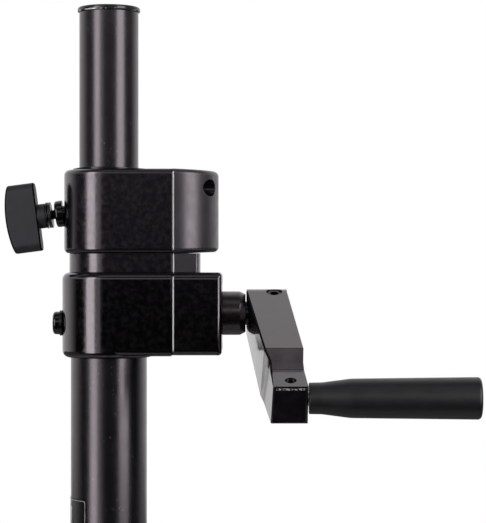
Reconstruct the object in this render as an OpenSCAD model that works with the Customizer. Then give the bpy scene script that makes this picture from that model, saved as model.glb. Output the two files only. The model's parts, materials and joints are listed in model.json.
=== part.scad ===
// Crank lighting stand: a tripod with a fixed column, a winch head and a mast that a cable lifts.
// Millimetres. +Z is up, +X runs along the crank shaft towards its grip, -Y is the front.
// The origin lies on the axis of the column, at the height of the floor.

/* [Column and mast] */
// Outside diameter of the fixed column tube
column_d = 45; // [43:0.5:46]
// Wall of the column tube
column_wall = 1.5; // [1.2:0.1:1.7]
// Length of the column tube
column_len = 1417; // [1300:1:1480]
// Outside diameter of the mast tube
mast_d = 35; // [33:0.5:35]
// Wall of the mast tube
mast_wall = 2; // [1.5:0.1:2.5]
// Length of the mast tube
mast_len = 1544; // [1480:1:1640]
// Diameter of the socket in the top of the mast, which takes a 28 mm spigot
spigot_d = 28.8; // [28.2:0.1:29.4]
// Depth of that socket
spigot_depth = 80; // [60:1:100]
// Diameter of the lip round the socket
lip_d = 37; // [36.5:0.1:38]
// Height of the lip above the end of the tube
lip_h = 3; // [2:0.5:5]
// Length of the glide on the foot of the mast that runs inside the column
glide_len = 15; // [12:1:30]
// How far the glide's plug reaches up inside the mast
glide_plug_len = 30; // [20:1:50]

/* [Lower housing] */
// Radius of the rounded side of the lower housing
lower_r = 27.5; // [26.5:0.1:29]
// Height of the lower housing
lower_h = 50.2; // [49:0.1:54]
// How much lower the housing reaches round the column than towards the crank
collar_drop = 1.5; // [0:0.1:2]
// Distance from the column axis to the line where the covers meet the housings
parting_x = 38; // [37:0.1:39.4]
// Distance from the column axis to the end of the winch cover
winch_end_x = 67.2; // [65:0.1:70]
// Height of the winch cover's bottom above the bottom of the lower housing
winch_cover_up = 2.1; // [1:0.1:2.5]
// Radius of the rounded edges at the end of the winch cover
winch_end_edge = 2.3; // [1:0.1:4]
// Radius of the upright corners of the winch cover
winch_corner = 3; // [2.5:0.5:8]
// Radius of the rounded edges of the lower housing
edge_r = 4.2; // [2:0.1:5]
// How far the winch cover stands proud of the lower housing at the front and the back
cover_proud = 0.6; // [0:0.1:1]
// How deep the column reaches into the lower housing
column_grip = 40; // [30:1:42]

/* [Neck and upper housing] */
// Radius of the rounded side of the neck
neck_r = 23.3; // [22.3:0.1:24]
// Height of the neck
neck_h = 11.2; // [10:0.1:16]
// Distance from the column axis to the end of the neck
neck_end_x = 53.8; // [46:0.1:58]
// Radius of the upright corners of the neck
neck_corner = 2; // [1:0.5:4]
// Radius of the rounded side of the upper housing
upper_r = 26.4; // [25.2:0.1:27]
// Height of the upper housing
upper_h = 49.2; // [46:0.1:54]
// Radius of the rounded edges of the upper housing and its cap
upper_edge = 3; // [2:0.1:4]
// Radius of the rounded end of the pulley cap
cap_r = 27; // [26:0.1:28]
// Wall of the pulley cap
cap_wall = 4; // [3:0.1:5]
// Distance of the two cap screws from the middle, one towards the front and one towards the back
cap_screw_y = 14.9; // [13:0.1:16]
// Height of the cap screws above the bottom of the upper housing
cap_screw_up = 38.3; // [38:0.1:40]
// Diameter of the recess for each cap screw
cap_recess_d = 10; // [9:0.1:11]
// Depth of that recess from the end of the cap
cap_recess_deep = 15; // [14:0.5:18]
// Diameter of the guide bush's flange
guide_flange_d = 42.6; // [42:0.1:46]
// Thickness of that flange
guide_flange_t = 1.4; // [1:0.1:3]
// Length of the guide bush below its flange
guide_len = 9; // [6:0.5:9]

/* [Crank] */
// Height of the crank shaft above the bottom of the lower housing
crank_up = 26; // [25.8:0.1:26.2]
// Diameter of the crank shaft
shaft_d = 14; // [12:0.5:15]
// Diameter of the journal at the inner end of the shaft
journal_d = 10; // [8:0.5:11]
// Outside diameter of the bearing that stands out of the winch cover
boss_d = 25.8; // [24:0.1:27]
// How far that bearing stands out at its full width
boss_len = 10.4; // [9:0.1:13]
// Diameter to which its tapered end narrows
boss_neck_d = 22.4; // [20:0.1:23]
// Length of that tapered end
boss_neck_len = 3.4; // [1:0.1:4]
// Running gap between the bearing and the crank arm
arm_gap = 0.5; // [0.3:0.1:1]
// Angle of the crank arm below the horizontal, with the arm towards the front
arm_droop = 25; // [0:1:60]
// Distance from the shaft to the axle of the grip
arm_reach = 95.5; // [90:0.5:110]
// Arm beyond the axle of the grip
arm_over = 7.2; // [7:0.1:12]
// Radius of the arm round the shaft, which is half its thickness there
arm_hub_r = 14.2; // [12:0.1:16]
// Width of the arm at the shaft
arm_hub_w = 24; // [22:0.1:26]
// Width of the arm where its top face bends
arm_bend_w = 22; // [20:0.1:24]
// Width of the arm at the grip
arm_end_w = 19.4; // [18:0.1:21]
// Thickness of the arm at the grip
arm_end_t = 22.3; // [18:0.1:24]
// How far the arm's lower face falls away towards the grip
arm_sag = 1.6; // [0:0.1:3]
// Distance from the shaft to the first bend of the top face
arm_bend = 72; // [60:0.5:76]
// Length of the ramp between the two bends
arm_ramp = 11.2; // [8:0.1:16]
// How far the inner side of the arm is drawn in on that ramp
arm_waist_in = 1.5; // [0:0.1:3]
// How far the outer side of the arm is drawn in on that ramp
arm_waist_out = 2.4; // [0:0.1:4]
// How far the arm has moved outwards at the first bend
arm_bend_shift = 8.7; // [4:0.1:10]
// How far the arm has moved outwards at the grip
arm_end_shift = 12.1; // [10:0.1:14]
// Diameter of the set screw that clamps the shaft
shaft_screw_d = 9.4; // [6:0.1:10]
// Diameter of the set screw that holds the axle of the grip
axle_screw_d = 6.4; // [5:0.1:7]
// How deep both set screws lie below the face of the arm
set_screw_deep = 1.2; // [0.5:0.1:2]

/* [Grip] */
// Length of the turning grip
grip_len = 94.7; // [85:0.1:100]
// Running gap between the grip and the arm
grip_gap = 0.4; // [0.3:0.1:1]
// Diameter of the grip next to the arm
grip_neck_d = 17.5; // [15:0.1:18]
// Diameter of the grip at the end of its flare
grip_flare_d = 21.9; // [19:0.1:23]
// Diameter of the grip at its outer end
grip_end_d = 23.4; // [21:0.1:24]
// Length of the straight neck of the grip
grip_neck_len = 7; // [4:0.5:9]
// Distance from the arm at which the flare ends
grip_flare_len = 23; // [18:0.5:30]
// Radius of the edge at the outer end of the grip
grip_edge_r = 2; // [1:0.1:4]
// Diameter of the axle of the grip
axle_d = 8; // [7:0.5:10]
// Solid end of the grip beyond its axle
grip_end_wall = 4.5; // [3:0.5:8]

/* [Winch] */
// Diameter of the steel cable
cable_d = 2; // [1.6:0.1:2]
// Radius at which the cable runs on the drum
drum_line_r = 18; // [17:0.1:18.4]
// Radius of the flanges of the drum
drum_flange_r = 21.2; // [20.8:0.1:21.4]
// Thickness of each flange of the drum
drum_flange_t = 1.5; // [1:0.1:2]
// Distance from the column axis to the inner flange of the drum
drum_start_x = 30.5; // [30:0.1:31]
// Width of the drum over its flanges
drum_w = 19.5; // [19:0.1:20]
// Distance from the column axis to the cable that rises from the drum
rise_x = 40; // [39.5:0.1:42]
// Turns of cable left on the drum with the mast down
spare_turns = 3; // [1:1:3]
// Radius of the cavity round the drum
drum_room_r = 22; // [21.8:0.1:22.2]
// Thickness of the friction disc
friction_t = 2; // [1.5:0.1:2.5]
// Thickness of the fixed brake plate
brake_t = 2.6; // [2:0.1:3]
// Radius of the friction disc
friction_r = 18; // [15:0.1:20]
// Outside radius of the one-way clutch
clutch_r = 12; // [11:0.1:14]
// Width of the one-way clutch
clutch_w = 4; // [3:0.1:4.4]
// Radius of the inner bush of the shaft
bush_r = 8; // [7:0.1:9]
// Distance from the column axis to the inner bush
bush_start_x = 25; // [24.8:0.1:25.5]
// Length of the inner bush
bush_len = 4.2; // [3.5:0.1:4.4]

/* [Pulley] */
// Radius at which the cable hangs inside the column
cable_line_r = 19.1; // [19:0.05:19.2]
// Height of the pulley's axle above the bottom of the upper housing
pulley_up = 20.5; // [20:0.5:21]
// Radius of the pulley's rim beyond its cable line
pulley_rim = 1.4; // [1:0.1:1.5]
// Thickness of the pulley
pulley_t = 5; // [4:0.1:5.4]
// Diameter of the pulley's axle
pulley_axle_d = 6; // [4:0.5:8]
// Length of the pulley's axle
pulley_axle_len = 18; // [14:0.5:18]

/* [Lock knobs] */
// Height of the mast's lock screw above the bottom of the upper housing, where it leaves the boss
lock_up = 23.8; // [20:0.1:25]
// Slope of the mast's lock screw up towards the mast
lock_slope = 7.5; // [0:0.5:10]
// Diameter of the lock screws
lock_screw_d = 6; // [5:0.5:8]
// Diameter of the threaded boss that each lock screw turns in
lock_boss_d = 15.6; // [13:0.1:17]
// How far that boss stands out of its housing
lock_boss_out = 5.2; // [5:0.1:8]
// Bare screw between the boss and the washers
lock_bare_len = 2.2; // [1.4:0.1:3]
// Number of washers under each knob
lock_washers_n = 3; // [1:1:4]
// Diameter of those washers
lock_washer_d = 15.4; // [14:0.1:17]
// Thickness of each washer
lock_washer_t = 0.8; // [0.5:0.1:1.2]
// Gap between two loose washers
lock_washer_gap = 0.5; // [0.3:0.1:0.7]
// Diameter of the knob's hub
knob_hub_d = 14.5; // [12:0.1:16]
// Length of the knob's hub
knob_hub_len = 4.6; // [3:0.1:8]
// Length of the knob's bar
knob_bar_len = 40.5; // [34:0.5:48]
// Thickness of the bar at its ends, along the screw
knob_bar_end = 16; // [12:0.1:18]
// Thickness of the bar at its middle, along the screw
knob_bar_mid = 19; // [18.5:0.1:22]
// Breadth of the bar across the screw
knob_bar_w = 15; // [12:0.1:18]
// Diameter of the pad between a lock screw and its tube
pad_d = 9; // [8:0.1:10]
// Thickness of that pad
pad_t = 2.1; // [1.5:0.1:2.2]
// Gap between the mast's pad and the mast with the knob loose
pad_gap = 2.1; // [2:0.1:2.2]

/* [Column clamp bolt] */
// Height of the bolt that clamps the column above the bottom of the lower housing
clamp_up = 20.2; // [15:0.1:24]
// Diameter of the head of that bolt
clamp_head_d = 13.5; // [12:0.1:15]
// Height of that head
clamp_head_h = 4; // [3:0.1:5]
// Diameter of the bolt
clamp_bolt_d = 8; // [6:0.5:8]
// Thickness of its washer
clamp_washer_t = 1.4; // [1:0.1:2]

/* [Label] */
// Height of the blank label on the column
label_h = 120; // [60:1:200]
// Distance from the lower housing down to the label
label_drop = 84; // [60:1:120]
// Thickness of the label
label_t = 0.2; // [0.1:0.05:0.4]
// Angle that the label covers round the column
label_wrap = 110; // [60:1:150]
// Angle from the front to the label's near edge, towards the lock knob
label_start = 37; // [20:1:60]

/* [Tripod] */
// Length of each leg from its hinge to the centre of its foot
leg_reach = 690; // [640:1:760]
// Diameter of the leg tubes
leg_d = 25; // [22:0.5:26]
// Wall of the leg tubes
leg_wall = 1.5; // [1.2:0.1:2.5]
// Leg beyond its hinge
leg_over = 10; // [8:0.5:11]
// Angle of the open legs from the column
leg_angle = 52; // [45:1:56]
// Length of the braces between their hinges
brace_len = 300; // [280:1:315]
// Width of the braces
brace_w = 16; // [13:0.5:20]
// Thickness of the braces
brace_t = 3; // [2:0.5:4]
// Distance from the column axis to the hinges of legs and braces
hinge_r = 48; // [47:0.5:56]
// Diameter of the hinge bolts
hinge_bolt_d = 8; // [6:0.5:10]
// Diameter of the heads of the hinge bolts
hinge_head_d = 13; // [11:0.5:15]
// Height of those heads
hinge_head_h = 3.5; // [2.5:0.5:5]
// Thickness of each ear of the leg hub
ear_t = 5; // [4:0.5:7]
// Radius of the ears and lugs round their hinges
ear_r = 12; // [10:0.5:12.5]
// Wall of the leg hub and of the base hub
hub_wall = 5.5; // [4:0.5:5.5]
// Height of the leg hub
leg_hub_h = 46; // [36:1:60]
// Height of the base hub
base_hub_h = 38; // [30:1:44]
// Wall of the plastic liner of the leg hub
liner_wall = 1.6; // [1.2:0.1:1.6]
// Radius of the ball on each rubber foot
foot_r = 17; // [16:0.5:20]
// Height of the ball's centre above the floor, which leaves a flat under each foot
foot_up = 14; // [13:0.5:15]
// Length of the rubber foot up the leg
foot_len = 42; // [30:1:60]
// Wall of the rubber foot
foot_wall = 2.2; // [1.5:0.1:3]
// Distance from the base hub down to the end of the column tube
column_below = 6; // [2:1:12]

/* [Hidden] */
$fn = 64;

// Clearances
seat_gap = 0.05;            // between two pieces that are fixed to each other
run_gap = 0.06;             // round a shaft that turns in its bearing
slide_gap = 0.1;            // round the mast and the glide
loose_gap = 0.35;           // between surfaces that pass each other
side_gap = 0.6;             // beside flat pieces that turn on a pin or a shaft
cut = 1;                    // how far a cutting shape runs past the face it cuts

// Fasteners and small pieces, which follow the usual sizes
base_screw_d = 5;
base_screw_head_d = 8.5;
base_screw_head_h = 4;
cover_screw_d = 3;
cover_screw_head_d = 5.5;
cover_screw_head_h = 3;
cover_screw_len = 32;
cover_screw_y = 14;         // from the crank shaft to each cover screw, across the column
cover_screw_rise = 19.6;    // and upwards or downwards
cap_screw_d = 5;
cap_screw_head_d = 8.5;
cap_screw_head_h = 5;
cap_screw_len = 26;
clamp_socket_w = 5;         // socket in the clamp bolt, across its flats
head_edge = 1.2;            // rounded edge of the hinge bolts' heads and of the mast's lip
circlip_t = 0.8;
circlip_rise = 2.5;         // how far the circlip stands out of the shaft
bearing_r = 10;             // the part of the crank's bearing inside the cover
ferrule_wall = 0.35;        // wall of the ferrule on the cable's end
plug_t = 6;                 // flange of the plug under the column
plug_lip = 1;               // how far that flange stands out of the column
plug_in = 22;               // plug inside the column
plug_wall = 4.5;
plug_floor = 2;
glide_wall = 4;
arm_wall = 4;               // what the bores for the shaft and the grip's axle leave of the arm
grip_axle_wall = 3;
shaft_screw_shift = 4.4;    // from the middle of the arm's hub outwards
lock_boss_in = 2.6;         // how deep a threaded boss sits in its housing
lock_boss_lift = 0.4;       // from the round of the housing to the flat that the boss stands on
lock_rod_in_knob = 8;       // how deep a lock screw reaches into the bar of its knob
leg_lock_tip_gap = 0.9;     // between the tip of the leg hub's lock screw and the column
way_gap = 1.3;              // round the rising cable and the pulley inside the housings

// Heights from the floor up
base_hinge_z = foot_up + (leg_reach - 2 * brace_len) * cos(leg_angle);
leg_hinge_z = base_hinge_z + 2 * brace_len * cos(leg_angle);
base_hub_z = base_hinge_z - base_hub_h / 2;
column_z = base_hub_z - column_below;
head_z = column_z + column_len - column_grip;
neck_z = head_z + lower_h;
upper_z = neck_z + neck_h;
upper_top_z = upper_z + upper_h;
crank_z = head_z + crank_up;
pulley_z = upper_z + pulley_up;
glide_z = column_z + plug_in + seat_gap;
mast_z = glide_z + glide_len;

// Radii
column_r = column_d / 2;
column_in_r = column_r - column_wall;
mast_r = mast_d / 2;
mast_in_r = mast_r - mast_wall;
shaft_r = shaft_d / 2;
journal_r = journal_d / 2;
cable_r = cable_d / 2;
ferrule_r = cable_r + ferrule_wall;
leg_r = leg_d / 2;
hinge_bolt_r = hinge_bolt_d / 2;
head_bore_r = column_in_r - 0.2;        // bore for the mast and its cable through the head
hub_in_r = column_r + loose_gap + liner_wall;
hub_out_r = column_r + loose_gap + liner_wall + hub_wall;

// The cable leaves the drum at its back, runs up to the pulley and hangs down inside the column.
// The pulley stands in the upright plane through the mast axis and the rising cable.
rise_y = drum_line_r + loose_gap;
rise_r = norm([rise_x, rise_y]);
pulley_turn = atan2(rise_y, rise_x);
pulley_line_r = (rise_r - cable_line_r) / 2;
pulley_rim_r = pulley_line_r + pulley_rim;
pulley_place_r = cable_line_r + pulley_line_r;

// Along the crank shaft
drum_end_x = drum_start_x + drum_w;
friction_x = drum_end_x + side_gap;
brake_x = friction_x + friction_t + loose_gap;
clutch_x = brake_x + brake_t + loose_gap;
circlip_x = clutch_x + clutch_w + slide_gap;
winch_wall_x = circlip_x + circlip_t + loose_gap;
boss_end_x = winch_end_x + boss_len;
arm_x = boss_end_x + boss_neck_len + arm_gap;
arm_mid_x = arm_x + arm_hub_w / 2;
arm_end_x = arm_mid_x + arm_end_shift;
arm_len = arm_reach + arm_over;
arm_end_top = arm_end_t - arm_hub_r - arm_sag;  // from the shaft's level up to the top of the end
arm_end_down = arm_end_t / 2 - arm_end_top;     // and down to the middle of the end
arm_waist = arm_bend + 0.6 * arm_ramp;          // where the sides are drawn in
shaft_end_x = arm_x + arm_hub_w - arm_wall;
grip_x = arm_end_x + arm_end_w / 2 + grip_gap;

// Lock screws
washer_pack = lock_washers_n * lock_washer_t + (lock_washers_n - 1) * lock_washer_gap;
knob_start = lock_boss_out + lock_bare_len + washer_pack;
pad_in = (upper_r - mast_r - pad_gap) / cos(lock_slope);    // from the upper housing's face to the pad

// Legs
leg_turns = [-90, 30, 150];     // directions of the three legs round the column
leg_lock_turn = 210;            // direction of the leg hub's lock knob
strap_y = leg_r + side_gap;      // inner face of the braces and of the ears
lug_w = 2 * (leg_r + 0.1);      // lugs of the base hub, between the braces

// ---------- shapes that several pieces share ----------

// A rectangle round the middle, with round corners
module rounded_rect(w, h, r) {
    square([w - 2 * r, h], center = true);
    square([w, h - 2 * r], center = true);
    for (x = [-1, 1], y = [-1, 1])
        translate([x * (w / 2 - r), y * (h / 2 - r)]) circle(r = r);
}

// A tube from z = 0 up
module tube(outer, inner, h) {
    difference() {
        cylinder(r = outer, h = h);
        translate([0, 0, -cut]) cylinder(r = inner, h = h + 2 * cut);
    }
}

// Turns what stands along Z so that it lies along X, from x on
module along_x(x) {
    translate([x, 0, 0]) rotate([0, 90, 0]) children();
}

// A rod with the crank shaft's axis
module on_shaft(x) {
    translate([x, 0, crank_z]) rotate([0, 90, 0]) children();
}

// A disc with rounded edges, from z = 0 up
module rounded_disc(r, h, edge) {
    translate([0, 0, h / 2]) rotate_extrude() intersection() {
        rounded_rect(2 * r, h, edge);
        translate([0, -h / 2]) square([r, h]);
    }
}

// The body of a housing: round about the mast axis, and straight from there to x = end, where its
// bottom lies higher by lift
module housing_body(r, end, h, edge, lift) {
    rounded_disc(r, h, edge);
    translate([0, 0, (h + lift) / 2]) along_x(0) linear_extrude(end) rounded_rect(h - lift, 2 * r, edge);
}

// A hexagon socket in the head of a screw, across its flats
module hex_socket(across, deep) {
    cylinder(r = across / sqrt(3), h = deep, $fn = 6);
}

// A socket-head screw that points down, with the top of its head at z = 0
module cap_screw(d, len, head_d, head_h) {
    difference() {
        union() {
            translate([0, 0, -head_h]) cylinder(d = head_d, h = head_h);
            translate([0, 0, -head_h - len]) cylinder(d = d, h = len + seat_gap);
        }
        translate([0, 0, -head_h * 0.6]) hex_socket(d * 0.8, head_h);
    }
}

// ---------- column and base ----------

module column_tube() {
    color([0.06, 0.06, 0.07]) translate([0, 0, column_z]) tube(column_r, column_in_r, column_len);
}

module column_label() {
    color([0.05, 0.05, 0.06])
        translate([0, 0, head_z - label_drop - label_h])
            rotate([0, 0, -90 - label_start - label_wrap])
                rotate_extrude(angle = label_wrap)
                    translate([column_r + seat_gap, 0]) square([label_t, label_h]);
}

// One lug or ear, standing out from the column towards +X, with its hinge at z = 0
module lug(inner, t) {
    rotate([90, 0, 0]) linear_extrude(t, center = true) {
        translate([hinge_r, 0]) circle(r = ear_r);
        translate([inner, -ear_r]) square([hinge_r - inner, 2 * ear_r]);
    }
}

module base_hub() {
    bore_r = column_r + seat_gap;
    color([0.05, 0.05, 0.05]) difference() {
        union() {
            translate([0, 0, base_hub_z]) cylinder(r = hub_out_r, h = base_hub_h);
            for (a = leg_turns)
                translate([0, 0, base_hinge_z]) rotate([0, 0, a]) lug(column_r + hub_wall / 2, lug_w);
        }
        translate([0, 0, base_hub_z - cut]) cylinder(r = bore_r, h = base_hub_h + 2 * cut);
        for (a = leg_turns)
            translate([0, 0, base_hinge_z]) rotate([0, 0, a])
                translate([hinge_r, 0, 0]) rotate([90, 0, 0])
                    cylinder(r = hinge_bolt_r + slide_gap, h = lug_w + 2 * cut, center = true);
        for (a = leg_turns)
            translate([0, 0, base_hinge_z]) rotate([0, 0, a + 60]) along_x(column_r - cut)
                cylinder(d = base_screw_d + 2 * seat_gap, h = hub_wall + liner_wall + 3 * cut);
    }
}

module base_hub_screws() {
    color([0.3, 0.3, 0.32]) for (a = leg_turns)
        translate([0, 0, base_hinge_z]) rotate([0, 0, a + 60])
            along_x(hub_out_r + seat_gap + base_screw_head_h)
                cap_screw(base_screw_d, hub_out_r - column_r - seat_gap,
                    base_screw_head_d, base_screw_head_h);
}

module base_plug() {
    color([0.03, 0.03, 0.03]) difference() {
        union() {
            translate([0, 0, column_z - plug_t]) cylinder(r = column_r + plug_lip, h = plug_t);
            translate([0, 0, column_z - seat_gap])
                cylinder(r = column_in_r - seat_gap, h = plug_in + seat_gap);
        }
        translate([0, 0, column_z - plug_t + plug_floor])
            cylinder(r = column_in_r - plug_wall, h = plug_in + plug_t);
    }
}

// ---------- head: housings ----------

module column_socket() {
    translate([0, 0, -cut]) cylinder(r = column_r + seat_gap, h = column_grip + cut);
    translate([0, 0, -cut]) cylinder(r = head_bore_r, h = lower_h + 2 * cut);
}

// Where the rising cable passes through a wall, from z = 0 up
module cable_way(h) {
    translate([rise_x, rise_y, 0]) cylinder(r = cable_r + way_gap, h = h);
}

module at_cover_screws() {
    for (y = [-1, 1], z = [-1, 1])
        translate([winch_end_x - side_gap, y * cover_screw_y, crank_z + z * cover_screw_rise])
            rotate([0, 90, 0]) children();
}

module cover_screw_holes() {
    at_cover_screws() {
        translate([0, 0, -cover_screw_head_h - cover_screw_len - cut])
            cylinder(d = cover_screw_d + 2 * seat_gap, h = cover_screw_len + 2 * cut);
        translate([0, 0, -cover_screw_head_h - seat_gap])
            cylinder(d = cover_screw_head_d + 4 * seat_gap, h = cover_screw_head_h + 2 * cut);
    }
}

module lower_housing() {
    color([0.04, 0.04, 0.045]) difference() {
        translate([0, 0, head_z]) housing_body(lower_r, parting_x, lower_h, edge_r, collar_drop);
        translate([0, 0, head_z]) column_socket();
        on_shaft(drum_start_x - side_gap) cylinder(r = drum_room_r, h = winch_end_x);
        on_shaft(bush_start_x) cylinder(r = bush_r + seat_gap, h = winch_end_x);
        translate([0, 0, crank_z]) cable_way(lower_h);
        cover_screw_holes();
        translate([0, 0, head_z + clamp_up]) along_x(-lower_r - cut)
            cylinder(d = clamp_bolt_d + 2 * seat_gap, h = lower_r - column_r + 2 * cut);
    }
}

module winch_cover() {
    len = winch_end_x - parting_x;
    w = 2 * (lower_r + cover_proud);
    h = lower_h - winch_cover_up;
    color([0.04, 0.04, 0.045]) difference() {
        translate([parting_x, 0, head_z + lower_h - h / 2]) intersection() {
            along_x(0) linear_extrude(len) rounded_rect(h, w, edge_r);
            linear_extrude(h + 2 * cut, center = true)
                translate([len / 2 - winch_corner, 0])
                    rounded_rect(len + 2 * winch_corner, w, winch_corner);
            rotate([90, 0, 0]) linear_extrude(w + 2 * cut, center = true)
                translate([len / 2 - winch_end_edge, 0])
                    rounded_rect(len + 2 * winch_end_edge, h, winch_end_edge);
        }
        on_shaft(parting_x - cut) cylinder(r = drum_room_r, h = winch_wall_x - parting_x + cut);
        on_shaft(parting_x) cylinder(r = bearing_r + seat_gap, h = winch_end_x);
        translate([0, 0, crank_z]) cable_way(lower_h);
        cover_screw_holes();
    }
}

module winch_cover_screws() {
    color([0.25, 0.25, 0.27]) at_cover_screws()
        cap_screw(cover_screw_d, cover_screw_len, cover_screw_head_d, cover_screw_head_h);
}

module housing_neck() {
    color([0.04, 0.04, 0.045]) difference() {
        translate([0, 0, neck_z]) linear_extrude(neck_h) {
            circle(r = neck_r);
            translate([0, -neck_r]) square([parting_x, 2 * neck_r]);
        }
        translate([0, 0, neck_z - cut]) cylinder(r = head_bore_r, h = neck_h + 2 * cut);
        translate([0, 0, neck_z - cut]) cable_way(neck_h + 2 * cut);
    }
}

// The part of the neck between the two covers
module neck_cover() {
    len = neck_end_x - parting_x;
    color([0.04, 0.04, 0.045]) difference() {
        translate([parting_x, 0, neck_z]) linear_extrude(neck_h) intersection() {
            translate([len / 2 - neck_corner, 0])
                rounded_rect(len + 2 * neck_corner, 2 * neck_r, neck_corner);
            translate([0, -neck_r - cut]) square([len + cut, 2 * (neck_r + cut)]);
        }
        translate([0, 0, neck_z - cut]) cable_way(neck_h + 2 * cut);
    }
}

module at_pulley_axle() {
    translate([0, 0, pulley_z]) rotate([0, 0, pulley_turn]) translate([pulley_place_r, 0, 0])
        rotate([90, 0, 0]) children();
}

// The room for the pulley, open towards the mast
module pulley_room() {
    at_pulley_axle()
        cylinder(r = pulley_rim_r + way_gap, h = pulley_t + 2 * loose_gap, center = true);
}

// Places a screw on each side of the pulley cap, pointing straight into the housing
module at_cap_screws() {
    for (side = [-1, 1])
        translate([0, side * cap_screw_y, upper_z + cap_screw_up])
            along_x(parting_x + cap_r - cap_recess_deep + cap_screw_head_h) children();
}

module cap_screw_holes() {
    at_cap_screws() {
        translate([0, 0, -cap_screw_head_h - cap_screw_len - cut])
            cylinder(d = cap_screw_d + 2 * seat_gap, h = cap_screw_len + 2 * cut);
        translate([0, 0, -cap_screw_head_h - seat_gap])
            cylinder(d = cap_recess_d, h = cap_recess_deep + cut);
    }
}

// Turns what stands along Z so that it lies along the mast's lock screw, with z = 0 at the round of
// the upper housing and positive z going outwards and down
module at_mast_lock() {
    translate([-upper_r, 0, upper_z + lock_up]) rotate([0, -90 - lock_slope, 0]) children();
}

module upper_housing() {
    color([0.04, 0.04, 0.045]) difference() {
        translate([0, 0, upper_z]) housing_body(upper_r, parting_x, upper_h, upper_edge, 0);
        translate([0, 0, upper_z - cut]) cylinder(r = head_bore_r, h = upper_h + 2 * cut);
        pulley_room();
        translate([0, 0, upper_z - cut]) cable_way(pulley_up + cut);
        at_pulley_axle() {
            d = pulley_axle_d + 2 * seat_gap;
            cylinder(d = d, h = pulley_axle_len + 2 * slide_gap, center = true);
        }
        cap_screw_holes();
        at_mast_lock() {
            translate([0, 0, -upper_r + head_bore_r - 3 * cut])
                cylinder(d = pad_d + 2 * slide_gap, h = upper_r - head_bore_r + 7 * cut);
            translate([0, 0, lock_boss_lift - seat_gap])
                cylinder(d = lock_boss_d + cut, h = lock_boss_out);
        }
    }
}

module pulley_cap() {
    color([0.04, 0.04, 0.045]) difference() {
        translate([parting_x, 0, upper_z]) intersection() {
            rounded_disc(cap_r, upper_h, upper_edge);
            translate([0, -cap_r - cut, -cut]) cube([cap_r + cut, 2 * (cap_r + cut), upper_h + 2 * cut]);
        }
        // Hollow under the cap screws
        translate([parting_x, 0, upper_z + cap_wall])
            cylinder(r = cap_r - cap_wall, h = cap_screw_up - cap_recess_d / 2 - 1.5 * cap_wall);
        pulley_room();
        translate([0, 0, upper_z - cut]) cable_way(pulley_up + cut);
        cap_screw_holes();
    }
}

module pulley_cap_screws() {
    color([0.2, 0.2, 0.22])
        at_cap_screws() cap_screw(cap_screw_d, cap_screw_len, cap_screw_head_d, cap_screw_head_h);
}

module clamp_bolt() {
    len = lower_r - column_r;
    color([0.1, 0.1, 0.11]) translate([0, 0, head_z + clamp_up]) rotate([0, -90, 0]) difference() {
        union() {
            translate([0, 0, column_r + seat_gap])
                cylinder(d = clamp_bolt_d, h = len + clamp_washer_t + clamp_head_h * 0.3);
            translate([0, 0, lower_r + clamp_washer_t + 2 * seat_gap]) rotate_extrude() intersection() {
                rounded_rect(clamp_head_d, 2 * clamp_head_h, clamp_head_h * 0.45);
                square([clamp_head_d / 2, clamp_head_h]);
            }
        }
        translate([0, 0, lower_r + clamp_washer_t + clamp_head_h * 0.4])
            hex_socket(clamp_socket_w, clamp_head_h);
    }
}

module clamp_washer() {
    washer_d = clamp_head_d + 1.5;
    color([0.15, 0.15, 0.16]) translate([0, 0, head_z + clamp_up]) rotate([0, -90, 0])
        translate([0, 0, lower_r + seat_gap])
            tube(washer_d / 2, clamp_bolt_d / 2 + seat_gap, clamp_washer_t);
}

module mast_guide_bush() {
    color([0.05, 0.05, 0.05]) difference() {
        union() {
            translate([0, 0, upper_top_z - guide_len])
                cylinder(r = head_bore_r - seat_gap, h = guide_len + guide_flange_t);
            translate([0, 0, upper_top_z + seat_gap]) cylinder(d = guide_flange_d, h = guide_flange_t);
        }
        translate([0, 0, upper_top_z - guide_len - cut])
            cylinder(r = mast_r + slide_gap, h = guide_len + guide_flange_t + 3 * cut);
    }
}

module threaded_boss() {
    translate([0, 0, -lock_boss_in]) difference() {
        union() {
            cylinder(d = pad_d, h = lock_boss_in + cut);
            translate([0, 0, lock_boss_in + lock_boss_lift])
                cylinder(d = lock_boss_d, h = lock_boss_out - lock_boss_lift);
        }
        translate([0, 0, -cut])
            cylinder(d = lock_screw_d + 2 * run_gap, h = lock_boss_in + lock_boss_out + 2 * cut);
    }
}

module lock_boss() {
    color([0.07, 0.07, 0.08]) at_mast_lock() threaded_boss();
}

// ---------- head: winch ----------

module crank_bearing() {
    color([0.06, 0.06, 0.06]) difference() {
        union() {
            on_shaft(winch_wall_x) cylinder(r = bearing_r, h = winch_end_x - winch_wall_x + cut);
            on_shaft(winch_end_x + seat_gap) cylinder(d = boss_d, h = boss_len - seat_gap);
            on_shaft(boss_end_x) cylinder(d1 = boss_d, d2 = boss_neck_d, h = boss_neck_len);
        }
        on_shaft(winch_wall_x - cut) cylinder(r = shaft_r + run_gap, h = winch_end_x);
    }
}

module shaft_bush() {
    color([0.6, 0.5, 0.25])
        on_shaft(bush_start_x + seat_gap) tube(bush_r, journal_r + run_gap, bush_len);
}

module brake_plate() {
    color([0.5, 0.5, 0.5])
        on_shaft(brake_x) tube(drum_room_r - seat_gap, shaft_r + 1.5, brake_t);
}

module pulley_axle() {
    color([0.6, 0.6, 0.62])
        at_pulley_axle() cylinder(d = pulley_axle_d, h = pulley_axle_len, center = true);
}

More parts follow.
